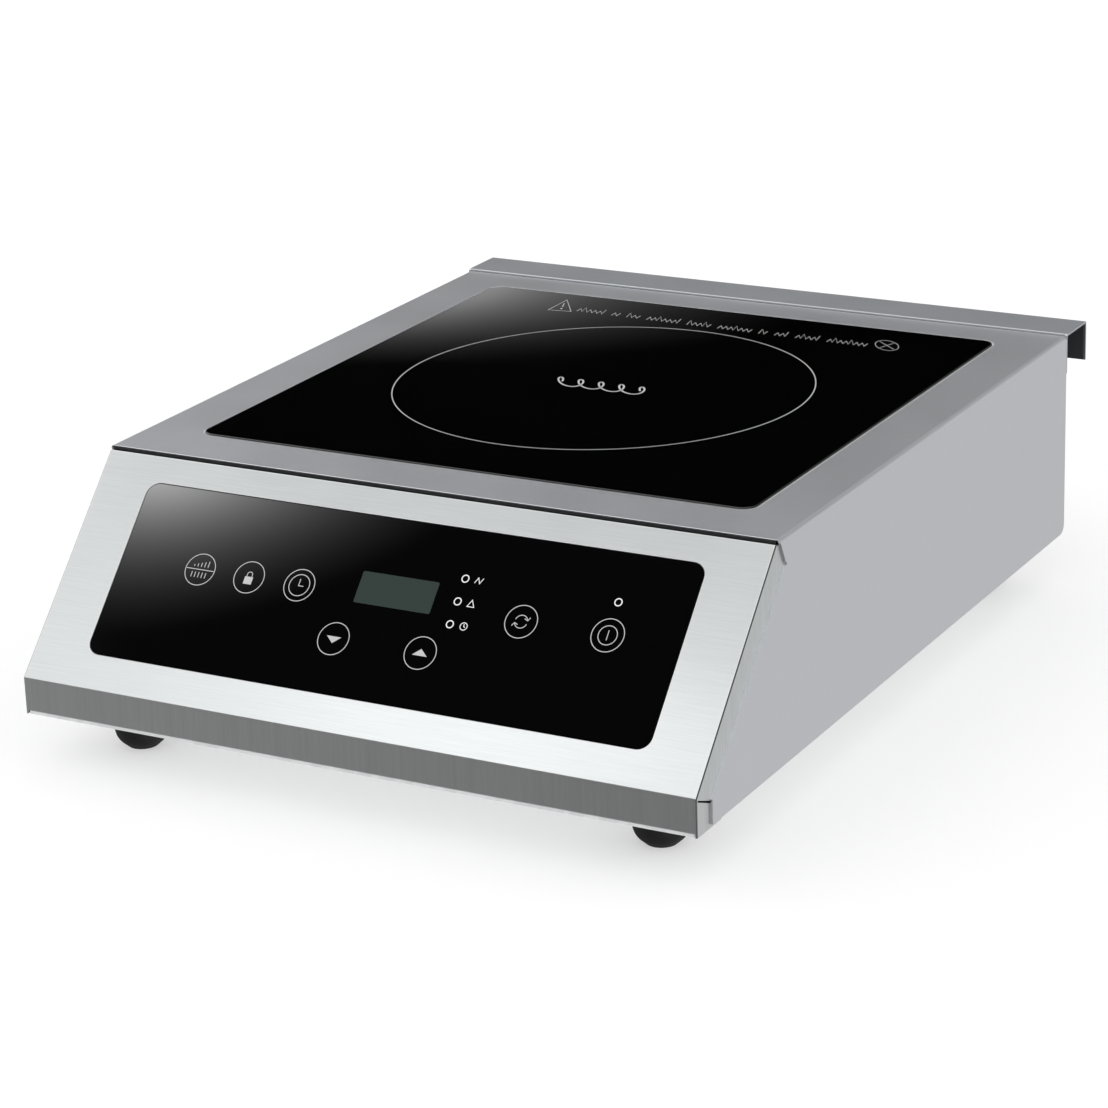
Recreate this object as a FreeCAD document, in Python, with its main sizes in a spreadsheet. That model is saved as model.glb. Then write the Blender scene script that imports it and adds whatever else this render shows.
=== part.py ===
import FreeCAD, Part

# A countertop induction hob. A folded stainless steel case carries a ceramic glass cooking plate on top
# and a glass touch panel on its sloping front. It holds one coil, its power board and two cooling fans.
#
# Frame: +Z is up and z = 0 is the surface that the feet stand on. The front lip faces -Y. The origin is
# under the middle of the whole hob, the rear spacer included. Millimetres and degrees throughout.
# The slope frame lies on the outer face of the sloping front: its origin is the middle of the bend above
# the lip, X runs to the right, Y runs up the slope and Z points out of the face.

import math
import os
import re
from collections import namedtuple

import Sketcher
from FreeCAD import Placement, Rotation, Vector

# ---------------------------------------------------------------------------------------------- sizes

SIZES = {
    # case
    "case_width": 340.0,
    "case_depth": 413.0,  # front lip to rear wall
    "deck_height": 126.5,  # floor to the top of the steel deck
    "foot_height": 23.0,
    "gauge": 1.0,  # steel sheet of the case
    "base_gauge": 1.5,
    "lip_height": 16.0,
    "slope_run": 80.0,  # horizontal run of the sloping front
    "bend_radius": 2.0,  # outside radius of the deck's long edges
    "front_bend_radius": 0.6,
    "fold_radius": 0.8,  # outside radius of the front panel's folds
    "top_fold_radius": 0.4,
    "deburr": 0.3,  # rounding of the windows' cut edges
    "front_gap": 1.0,  # between the deck's front edge and the front panel
    "deck_flange": 8.0,  # the deck's front edge, folded down
    "seam_depth": 12.5,  # how far the front panel's folded side shows before the side wall laps it
    "seam_drop": 12.0,  # height of the side wall's steep top corner
    "lap": 10.0,  # hidden overlap of the front panel's side behind the side wall
    "mitre_gap": 0.8,
    "relief_radius": 0.6,  # round notch at the inner corner of the side wall's front edge
    "return_width": 12.0,  # inward folds that the base plate is screwed to
    "rear_corner": 5.0,
    "fit_gap": 0.3,
    # spacer channel behind the case
    "spacer_depth": 27.0,
    "spacer_drop": 20.0,
    "spacer_fold_radius": 1.2,  # outside radius of the channel's two folds
    # cooking plate
    "glass_width": 284.0,
    "glass_length": 280.0,
    "glass_middle": 251.0,  # from the lip to the middle of the plate
    "glass_thickness": 4.0,
    "glass_proud": 0.3,
    "glass_corner": 7.5,
    "glass_edge": 0.8,
    "seal_gap": 0.6,
    "seal_thickness": 0.8,
    "seal_width": 6.0,
    "shelf_width": 8.0,
    "shelf_lap": 7.0,
    # touch panel, in the slope frame
    "panel_width": 282.0,
    "panel_length": 85.0,
    "panel_start": 17.0,
    "panel_thickness": 3.0,
    "panel_proud": 0.2,
    "panel_corner": 6.0,
    "panel_gap": 0.4,
    "tape_thickness": 0.3,
    "tray_lap": 7.0,
    "tray_wall": 2.0,
    "tray_depth": 14.0,
    "ledge_width": 5.0,
    "board_gauge": 1.6,
    "control_board_depth": 10.4,  # from the slope's face to the board's front
    "control_board_margin": 1.0,
    "control_boss_inset": 4.6,
    "display_width": 38.5,
    "display_length": 15.1,
    "display_across": 1.75,
    "display_up": 68.0,
    "led_radius": 1.5,
    "led_column": 32.4,
    "led_first": 57.5,
    "led_pitch": 10.85,
    "power_led_up": 79.3,
    "key_row": 64.0,
    "arrow_row": 42.4,
    "first_key": -98.9,
    "key_pitch": 26.1,
    "down_key": -20.7,
    "up_key": 23.1,
    "select_key": 65.2,
    "power_key": 106.8,
    "key_spring_radius": 4.0,
    # coil, from the middle of the cooking zone
    "zone_middle": 250.0,  # from the lip
    "mica_thickness": 0.5,
    "coil_radius": 95.0,
    "coil_bore": 22.0,
    "coil_thickness": 4.5,
    "former_radius": 100.0,
    "former_thickness": 4.0,
    "former_bore": 9.0,
    "grommet_lip": 2.0,
    "ferrite_length": 56.0,
    "ferrite_width": 14.0,
    "ferrite_thickness": 5.0,
    "ferrite_start": 27.0,
    "ferrite_count": 8,
    "rib_width": 1.5,
    "rib_length": 48.0,
    "post_circle": 92.0,
    "post_radius": 7.5,
    "post_pin": 3.0,
    "post_shoulder": 70.0,  # height of the post's lower part above the base plate
    "spring_radius": 7.0,
    "spring_wire": 0.9,
    "sensor_radius": 3.0,
    "sensor_tail": 6.0,
    # power board
    "board_width": 200.0,
    "board_length": 98.0,
    "board_middle": 141.0,  # from the lip
    "board_rise": 10.0,
    "standoff_radius": 3.5,
    "standoff_inset": 6.0,
    "standoff_pilot": 6.0,
    "device_height": 4.4,
    "transistor_width": 16.0,
    "transistor_length": 21.0,
    "transistor_spacing": 28.0,
    "transistor_shift": 14.0,
    "rectifier_width": 30.0,
    "rectifier_length": 20.0,
    "rectifier_shift": 16.0,
    "filter_across": 24.0,
    "filter_width": 31.0,
    "filter_length": 18.0,
    "filter_height": 28.0,
    "filter_spacing": 44.0,
    "resonance_across": 72.0,
    "resonance_width": 42.0,
    "resonance_length": 22.0,
    "resonance_height": 35.0,
    "resonance_spacing": 28.0,
    "choke_radius": 12.0,
    "choke_bore": 5.0,
    "choke_height": 12.0,
    "sink_inset": 14.0,
    "sink_width": 72.0,
    "sink_length": 64.0,
    "sink_base": 4.0,
    "fin_height": 22.0,
    "fin_width": 1.6,
    "fin_count": 10,
    # fans
    "fan_size": 92.0,
    "fan_depth": 25.0,
    "fan_across": 62.0,  # from the hob's middle to each fan's axis
    "fan_set_back": 73.0,  # from the rear wall to the fans' axes
    "fan_bore": 43.5,
    "fan_screw_spacing": 82.5,
    "hub_radius": 17.0,
    "hub_thickness": 3.0,
    "strut_width": 5.0,
    "shaft_radius": 1.5,
    "shaft_clearance": 0.03,
    "bush_radius": 3.0,
    "bush_length": 12.0,
    "tube_radius": 4.2,
    "stator_radius": 13.0,
    "stator_length": 8.0,
    "cup_radius": 17.5,
    "cup_wall": 2.0,
    "cup_top": 20.0,  # height of the rotor's cup above the base plate
    "blade_reach": 41.0,
    "blade_width": 12.0,
    "blade_rise": 10.0,
    "blade_thickness": 1.4,
    "blade_count": 7,
    # slots
    "slot_width": 4.0,
    "slot_corner": 1.5,
    "slot_pitch": 9.0,
    "intake_length": 72.0,
    "intake_count": 8,
    "vent_length": 40.0,
    "vent_count": 21,
    "vent_height": 76.5,  # floor to the middle of the rear vents
    # mains inlet
    "inlet_across": 130.0,
    "inlet_height": 48.5,
    "cable_radius": 4.5,
    "gland_thread": 9.0,
    "gland_hex": 24.0,
    "gland_flange": 6.0,
    "gland_dome": 13.0,
    "gland_tail": 10.0,
    "nut_thickness": 5.0,
    "terminal_width": 34.0,
    "terminal_length": 22.0,
    "terminal_height": 18.0,
    "terminal_pitch": 11.0,
    "terminal_shift": 10.0,
    "terminal_space": 5.0,
    "bay_width": 8.0,
    "bay_depth": 6.0,
    "earth_stud_shift": 25.0,
    "earth_stud_height": 14.0,
    # feet and fasteners
    "foot_inset": 37.0,  # from the side wall to the foot's axis
    "front_foot_set_back": 38.0,  # from the lip to the foot's axis
    "rear_foot_set_back": 28.0,  # from the rear wall to the foot's axis
    "foot_radius": 12.6,
    "foot_sole": 7.0,
    "foot_round": 9.0,
    "foot_dome": 5.0,  # height of the corner that the dome rounds
    "screw_head": 3.5,
    "screw_head_height": 2.2,
    "screw_shank": 1.9,
    "screw_length": 7.0,
    "screw_clearance": 0.2,
    "screw_set_back": 70.0,  # from the lip or the rear wall to the outer side screws
    "rivet_head": 3.0,
    "rivet_head_height": 1.0,
    "rivet_shank": 1.6,
    "rivet_inset": 27.0,
    "foot_bolt": 2.4,
    "foot_bolt_head": 4.4,
    "foot_bolt_seat": 13.0,
    "foot_bolt_head_height": 3.0,
    "foot_nut": 8.0,
    "foot_nut_height": 4.0,
    "boss_radius": 3.0,
    "board_screw": 1.4,
    "board_screw_head": 2.6,
    "board_screw_head_height": 1.2,
    "board_screw_length": 5.0,
}

DOC = FreeCAD.newDocument("induction_hob")
DIMS = DOC.addObject("Spreadsheet::Sheet", "Dims")
for row, (size_name, size_value) in enumerate(SIZES.items(), start=1):
    DIMS.set(f"A{row}", size_name)
    DIMS.set(f"B{row}", str(size_value))
    DIMS.setAlias(f"B{row}", size_name)
DOC.recompute()

# Places that several pieces share, as expressions in the sizes above.
HALF = "(case_width / 2)"
FRONT = "(-(case_depth + spacer_depth) / 2)"
REAR = f"({FRONT} + case_depth)"
FLOOR = "(foot_height + base_gauge)"  # the base plate's upper face
LIP_TOP = f"({FLOOR} + lip_height)"
DECK_EDGE = f"({FRONT} + slope_run)"
SLOPE_RISE = f"(deck_height - {LIP_TOP})"
SLOPE_ANGLE = f"atan2({SLOPE_RISE}; slope_run)"
SLOPE_SIN = f"sin({SLOPE_ANGLE})"
SLOPE_COS = f"cos({SLOPE_ANGLE})"
INNER_HALF = f"({HALF} - gauge)"
CEILING = "(deck_height - gauge)"

GLASS_Y = f"({FRONT} + glass_middle)"
GLASS_TOP = "(deck_height + glass_proud)"
GLASS_BOTTOM = f"({GLASS_TOP} - glass_thickness)"
SEAT = f"({GLASS_BOTTOM} - seal_thickness)"

PANEL_UP = "(panel_start + panel_length / 2)"
PANEL_BACK = "(panel_proud - panel_thickness)"
TAPE_BACK = f"({PANEL_BACK} - tape_thickness)"
LEDGE = f"({TAPE_BACK} - tray_wall)"
BOARD_FACE = "(-control_board_depth)"

ZONE_Y = f"({FRONT} + zone_middle)"
MICA_BOTTOM = f"({GLASS_BOTTOM} - mica_thickness)"
COIL_BOTTOM = f"({MICA_BOTTOM} - coil_thickness)"
FORMER_BOTTOM = f"({COIL_BOTTOM} - former_thickness)"
FERRITE_BOTTOM = f"({FORMER_BOTTOM} - ferrite_thickness)"

BOARD_Y = f"({FRONT} + board_middle)"
BOARD_BOTTOM = f"({FLOOR} + board_rise)"
BOARD_TOP = f"({BOARD_BOTTOM} + board_gauge)"
DEVICE_TOP = f"({BOARD_TOP} + device_height)"

FAN_Y = f"({REAR} - fan_set_back)"
FOOT_X = f"({HALF} - foot_inset)"
FRONT_FOOT_Y = f"({FRONT} + front_foot_set_back)"
REAR_FOOT_Y = f"({REAR} - rear_foot_set_back)"

Circle = namedtuple("Circle", "across up radius")
PARTS = []
PARALLEL = 0.9  # least cosine between two directions that count as the same

# ---------------------------------------------------------------------------------- drawing and building

WORD = re.compile(r"[a-z][a-z_0-9]*")
# Which way the normal of each origin plane points along the axis that it is square to.
NORMALS = {"XY_Plane": 1, "YZ_Plane": 1, "XZ_Plane": -1}


def cells(text):
    """An expression in the names of the sizes, with the sheet's name put before each."""
    return WORD.sub(lambda found: ("Dims." if found[0] in SIZES else "") + found[0], str(text))


def number(text):
    """What an expression comes to, in millimetres or degrees."""
    result = DIMS.evalExpression(cells(text))
    return float(getattr(result, "Value", result))


def bind(piece, name, text):
    """Ties one property of a piece to the sheet."""
    piece.setExpression(name, cells(text))


def body(label):
    """An empty body, which is one sub-part. A group of equal pieces is one body of separate solids."""
    made = DOC.addObject("PartDesign::Body", label)
    made.AllowCompound = True
    PARTS.append(made)
    return made


def lay_on_slope(made):
    """Puts a body that is drawn in the slope frame onto the sloping front."""
    made.Placement = Placement(Vector(), Rotation(Vector(1, 0, 0), number(SLOPE_ANGLE)))
    bind(made, "Placement.Base.y", FRONT)
    bind(made, "Placement.Base.z", LIP_TOP)
    bind(made, "Placement.Rotation.Angle", SLOPE_ANGLE)


def rectangle(across, up, width, height, radius=None):
    """The corners of a rectangle about a middle point, with rounded corners where a radius is given."""
    corners = []
    for side, rise in ((-1, -1), (1, -1), (1, 1), (-1, 1)):
        corner = (f"{across} + {side} * ({width}) / 2", f"{up} + {rise} * ({height}) / 2")
        corners.append(corner if radius is None else (*corner, radius))
    return corners


def hexagon(across, up, flats):
    """The corners of a hexagon, given the distance across its flats."""
    turns = [f"{60 * step}" for step in range(6)]
    reach = f"({flats}) / 2 / cos(30)"
    return [(f"{across} + {reach} * cos({turn})", f"{up} + {reach} * sin({turn})") for turn in turns]


def add_circle(sketch, circle):
    """Draws one circle and ties its middle and radius."""
    middle = Vector(number(circle.across), number(circle.up), 0)
    index = sketch.addGeometry(Part.Circle(middle, Vector(0, 0, 1), number(circle.radius)))
    for kind, place, text in (
        ("DistanceX", middle.x, circle.across),
        ("DistanceY", middle.y, circle.up),
    ):
        added = sketch.addConstraint(Sketcher.Constraint(kind, -1, 1, index, 3, place))
        bind(sketch, f"Constraints[{added}]", text)
    added = sketch.addConstraint(Sketcher.Constraint("Radius", index, number(circle.radius)))
    bind(sketch, f"Constraints[{added}]", circle.radius)


def corner_points(points, radii):
    """For each corner, where its arc starts and ends, the arc's centre and whether it turns left."""
    found = []
    for index, here in enumerate(points):
        if not radii[index]:
            found.append((here, here, None, True))
            continue
        into = (here - points[index - 1]).normalize()
        out = (points[(index + 1) % len(points)] - here).normalize()
        setback = radii[index] * math.tan(into.getAngle(out) / 2)
        turns_left = into.cross(out).z > 0
        side = 1 if turns_left else -1
        arrive = here - into * setback
        centre = arrive + Vector(-into.y, into.x, 0) * radii[index] * side
        found.append((arrive, here + out * setback, centre, turns_left))
    return found


def add_polygon(sketch, corners):
    """Draws a closed outline, ties every corner and rounds the corners that have a radius."""
    points = [Vector(number(corner[0]), number(corner[1]), 0) for corner in corners]
    radii = [number(corner[2]) if len(corner) > 2 else 0 for corner in corners]
    count = len(corners)
    bends = corner_points(points, radii)
    sides = [
        sketch.addGeometry(Part.LineSegment(bends[index][1], bends[(index + 1) % count][0]))
        for index in range(count)
    ]
    for index, (arrive, leave, centre, turns_left) in enumerate(bends):
        before, after = sides[index - 1], sides[index]
        if centre is None:
            sketch.addConstraint(Sketcher.Constraint("Coincident", before, 2, after, 1))
            tied = after
        else:
            first, last = (arrive, leave) if turns_left else (leave, arrive)
            angles = [math.atan2(point.y - centre.y, point.x - centre.x) for point in (first, last)]
            circle = Part.Circle(centre, Vector(0, 0, 1), radii[index])
            arc = sketch.addGeometry(Part.ArcOfCircle(circle, *angles))
            tied = sketch.addGeometry(Part.Point(points[index]), True)
            start, end = (1, 2) if turns_left else (2, 1)
            sketch.addConstraint(
                [
                    Sketcher.Constraint("Tangent", before, 2, arc, start),
                    Sketcher.Constraint("Tangent", after, 1, arc, end),
                    Sketcher.Constraint("PointOnObject", tied, 1, before),
                    Sketcher.Constraint("PointOnObject", tied, 1, after),
                ]
            )
            added = sketch.addConstraint(Sketcher.Constraint("Radius", arc, radii[index]))
            bind(sketch, f"Constraints[{added}]", corners[index][2])
        for kind, place, text in (
            ("DistanceX", points[index].x, corners[index][0]),
            ("DistanceY", points[index].y, corners[index][1]),
        ):
            added = sketch.addConstraint(Sketcher.Constraint(kind, -1, 1, tied, 1, place))
            bind(sketch, f"Constraints[{added}]", text)


def draw(made, name, plane, outlines, raised=0):
    """A fully tied sketch on one of the body's origin planes, raised along the plane's normal."""
    sketch = made.newObject("Sketcher::SketchObject", f"{made.Name}_{name}_sketch")
    ground = next(found for found in made.Origin.OriginFeatures if found.Role == plane)
    sketch.AttachmentSupport = [(ground, "")]
    sketch.MapMode = "FlatFace"
    bind(sketch, "AttachmentOffset.Base.z", raised)
    for outline in outlines:
        if isinstance(outline, Circle):
            add_circle(sketch, outline)
        else:
            add_polygon(sketch, outline)
    return sketch


def extrude(kind, made, name, plane, outlines, span):
    """A pad or a pocket that fills the outlines from the low to the high end of its span."""
    low, high = span
    way = NORMALS[plane]
    edge = low if (kind == "Pad") == (way > 0) else high
    sketch = draw(made, name, plane, outlines, f"{way} * ({edge})")
    feature = made.newObject(f"PartDesign::{kind}", f"{made.Name}_{name}")
    feature.Profile = sketch
    bind(feature, "Length", f"({high}) - ({low})")
    return feature


def pad(made, name, plane, outlines, span):
    """Adds material."""
    return extrude("Pad", made, name, plane, outlines, span)


def pocket(made, name, plane, outlines, span):
    """Takes material away."""
    return extrude("Pocket", made, name, plane, outlines, span)


def revolve(made, name, outline):
    """Adds material by turning an outline, given as radius and height, about the body's Z axis."""
    sketch = draw(made, name, "XZ_Plane", [outline])
    feature = made.newObject("PartDesign::Revolution", f"{made.Name}_{name}")
    feature.Profile = sketch
    feature.ReferenceAxis = (sketch, ["V_Axis"])
    feature.Angle = 360
    return feature


def axis_of(made, role):
    """One of a body's own axes, in the form that a pattern takes."""
    return (next(found for found in made.Origin.OriginFeatures if found.Role == role), [""])


def repeat_round(made, name, features, count):
    """Repeats features evenly about the body's Z axis."""
    pattern = made.newObject("PartDesign::PolarPattern", f"{made.Name}_{name}")
    pattern.Originals = features
    pattern.Axis = axis_of(made, "Z_Axis")
    pattern.Angle = 360
    bind(pattern, "Occurrences", count)
    made.Tip = pattern


def repeat_across(made, name, features, pitch, count):
    """Repeats features along the body's X axis."""
    pattern = made.newObject("PartDesign::LinearPattern", f"{made.Name}_{name}")
    pattern.Originals = features
    pattern.Direction = axis_of(made, "X_Axis")
    bind(pattern, "Occurrences", count)
    bind(pattern, "Length", f"({pitch}) * ({count} - 1)")
    made.Tip = pattern


def round_edges(made, name, radius, wanted):
    """Rounds the edges whose middle point and direction are wanted."""
    DOC.recompute()
    base = made.Tip
    picked = []
    for index, edge in enumerate(base.Shape.Edges, start=1):
        middle = edge.valueAt((edge.FirstParameter + edge.LastParameter) / 2)
        if wanted(middle, edge.tangentAt(edge.FirstParameter)):
            picked.append(f"Edge{index}")
    if not picked:
        raise ValueError(f"{made.Name}: no edge to round for {name}")
    feature = made.newObject("PartDesign::Fillet", f"{made.Name}_{name}")
    feature.Base = (base, picked)
    feature.Radius = number(radius)
    bind(feature, "Radius", radius)


def near(value, text):
    """Whether a coordinate is the one that an expression gives."""
    tolerance = 1e-4
    return abs(value - number(text)) < tolerance


def behind_lip(depth):
    """Y of a plane parallel to the lip, at a depth behind its face."""
    return f"({FRONT} + {depth})"


def behind_slope(depth, height):
    """Y of the point at a height that lies at a depth behind the slope's face."""
    return f"({FRONT} + ({depth} + {SLOPE_COS} * ({height} - {LIP_TOP})) / {SLOPE_SIN})"


def height_at(depth, along):
    """Z of the point at a distance behind the lip that lies at a depth behind the slope's face."""
    return f"({LIP_TOP} + ({SLOPE_SIN} * ({along}) - ({depth})) / {SLOPE_COS})"


def knee(depth):
    """The point that lies at the same depth behind the lip and behind the slope."""
    return (behind_lip(depth), f"({LIP_TOP} - ({depth}) * (1 - {SLOPE_SIN}) / {SLOPE_COS})")


# ------------------------------------------------------------------------------------- where screws go

RETURN_SCREW_X = f"({HALF} - return_width * 2 / 3)"
RETURN_SCREW_YS = [
    f"({FRONT} + screw_set_back)",
    f"({FRONT} + case_depth / 2)",
    f"({REAR} - screw_set_back)",
]
EDGE_SCREW_XS = ["0", "case_width / 4", "-case_width / 4"]
FRONT_SCREW_Y = behind_lip("return_width * 2 / 3")
REAR_SCREW_Y = f"({REAR} - return_width * 2 / 3)"
SIDE_SCREWS = [(f"{side} * {RETURN_SCREW_X}", y) for side in (-1, 1) for y in RETURN_SCREW_YS]
FRONT_SCREWS = [(x, FRONT_SCREW_Y) for x in EDGE_SCREW_XS]
REAR_SCREWS = [(x, REAR_SCREW_Y) for x in EDGE_SCREW_XS]
FEET = {
    "front_left_foot": (f"-{FOOT_X}", FRONT_FOOT_Y),
    "front_right_foot": (FOOT_X, FRONT_FOOT_Y),
    "rear_left_foot": (f"-{FOOT_X}", REAR_FOOT_Y),
    "rear_right_foot": (FOOT_X, REAR_FOOT_Y),
}
RIVET_XS = [f"{third} * ({HALF} - rivet_inset) / 3" for third in (-3, -1, 1, 3)]
RIVET_Z = "(deck_height + gauge - spacer_drop / 2)"
POSTS = [
    (f"post_circle * cos({turn})", f"{ZONE_Y} + post_circle * sin({turn})") for turn in (90, 210, 330)
]
STANDOFFS = [
    (
        f"{side} * (board_width / 2 - standoff_inset)",
        f"{BOARD_Y} + {end} * (board_length / 2 - standoff_inset)",
    )
    for side in (-1, 0, 1)
    for end in (-1, 1)
]
CONTROL_BOSSES = [
    (
        f"{side} * (panel_width / 2 - control_boss_inset)",
        f"{PANEL_UP} + {end} * (panel_length / 2 - control_boss_inset)",
    )
    for side in (-1, 1)
    for end in (-1, 1)
]
KEYS = [
    ("first_key", "key_row"),
    ("(first_key + key_pitch)", "key_row"),
    ("(first_key + 2 * key_pitch)", "key_row"),
    ("down_key", "arrow_row"),
    ("up_key", "arrow_row"),
    ("select_key", "key_row"),
    ("power_key", "key_row"),
]
LEDS = [("led_column", f"(led_first + {step} * led_pitch)") for step in range(3)]
LEDS.append(("power_key", "power_led_up"))


def circles(places, radius):
    """A circle of one radius at each place."""
    return [Circle(across, up, radius) for across, up in places]


# ------------------------------------------------------------------------------------------- the case


def build_top_cover():
    """The deck and both side walls in one folded sheet, with inward returns along the bottom."""
    made = body("top_cover")
    seam_height = "(deck_height - seam_drop)"
    walls = [
        (DECK_EDGE, "deck_height"),
        (behind_slope("seam_depth", seam_height), seam_height),
        knee("seam_depth"),
        (behind_lip("seam_depth"), FLOOR),
        (REAR, FLOOR, "rear_corner"),
        (REAR, "deck_height"),
    ]
    pad(made, "block", "YZ_Plane", [walls], (f"-{HALF}", HALF))
    beyond = "(2 * case_depth)"
    hollow = [
        (f"-{beyond}", f"-{beyond}"),
        (beyond, f"-{beyond}"),
        (beyond, CEILING),
        (f"-{beyond}", CEILING),
    ]
    pocket(made, "hollow", "YZ_Plane", [hollow], (f"-{INNER_HALF}", INNER_HALF))
    flange_width = f"2 * ({INNER_HALF} - gauge - fit_gap)"
    flange = rectangle("0", f"{DECK_EDGE} + gauge / 2", flange_width, "gauge")
    flange_span = ("deck_height - deck_flange", "deck_height - gauge / 2")
    pad(made, "front_flange", "XY_Plane", [flange], flange_span)
    first = behind_lip("(seam_depth + lap + 2 * gauge)")
    last = f"({REAR} - return_width - 2 * gauge)"
    folds = [
        rectangle(
            f"{side} * ({INNER_HALF} - (return_width - gauge) / 2)",
            f"({first} + {last}) / 2",
            "return_width + gauge",
            f"{last} - {first}",
        )
        for side in (-1, 1)
    ]
    for step, fold in enumerate(folds):
        pad(made, f"return_{step}", "XY_Plane", [fold], (FLOOR, f"{FLOOR} + gauge"))
    relief = Circle(behind_slope("seam_depth", seam_height), seam_height, "relief_radius")
    pocket(made, "relief", "YZ_Plane", [relief], (f"-{HALF}", HALF))
    window = rectangle(
        "0",
        GLASS_Y,
        "glass_width + 2 * seal_gap",
        "glass_length + 2 * seal_gap",
        "glass_corner + seal_gap",
    )
    pocket(made, "window", "XY_Plane", [window], ("deck_height - 2 * gauge", "deck_height + gauge"))
    holes = circles(SIDE_SCREWS, "screw_shank + screw_clearance / 2")
    pocket(made, "screw_holes", "XY_Plane", holes, (f"{FLOOR} - gauge", f"{FLOOR} + 2 * gauge"))

    def along_side(side, height):
        """Picks the long edges at a distance from the middle and a height."""

        def wanted(point, way):
            """Whether an edge is one of the two."""
            return abs(way.y) > PARALLEL and near(abs(point.x), side) and near(point.z, height)

        return wanted

    round_edges(made, "inner_bends", "bend_radius - gauge", along_side(INNER_HALF, CEILING))
    round_edges(made, "outer_bends", "bend_radius", along_side(HALF, "deck_height"))

    def round_window(point, way):
        """The upper edges of the window, which are the only ones on the deck away from its border."""
        inside = abs(point.x) < number("glass_width / 2 + 2 * seal_gap")
        beyond_edge = number(DECK_EDGE) + number("bend_radius") < point.y < number(f"{REAR} - bend_radius")
        return near(point.z, "deck_height") and inside and beyond_edge

    round_edges(made, "window_deburr", "deburr", round_window)
    radius = "front_bend_radius"
    corner = [
        (f"{DECK_EDGE} - {radius}", f"deck_height - 2 * {radius}"),
        (DECK_EDGE, f"deck_height - 2 * {radius}"),
        (DECK_EDGE, "deck_height", radius),
        (f"{DECK_EDGE} + 2 * {radius}", "deck_height"),
        (f"{DECK_EDGE} + 2 * {radius}", f"deck_height + {radius}"),
        (f"{DECK_EDGE} - {radius}", f"deck_height + {radius}"),
    ]
    pocket(made, "front_bend", "YZ_Plane", [corner], (f"-{HALF}", HALF))


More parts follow.
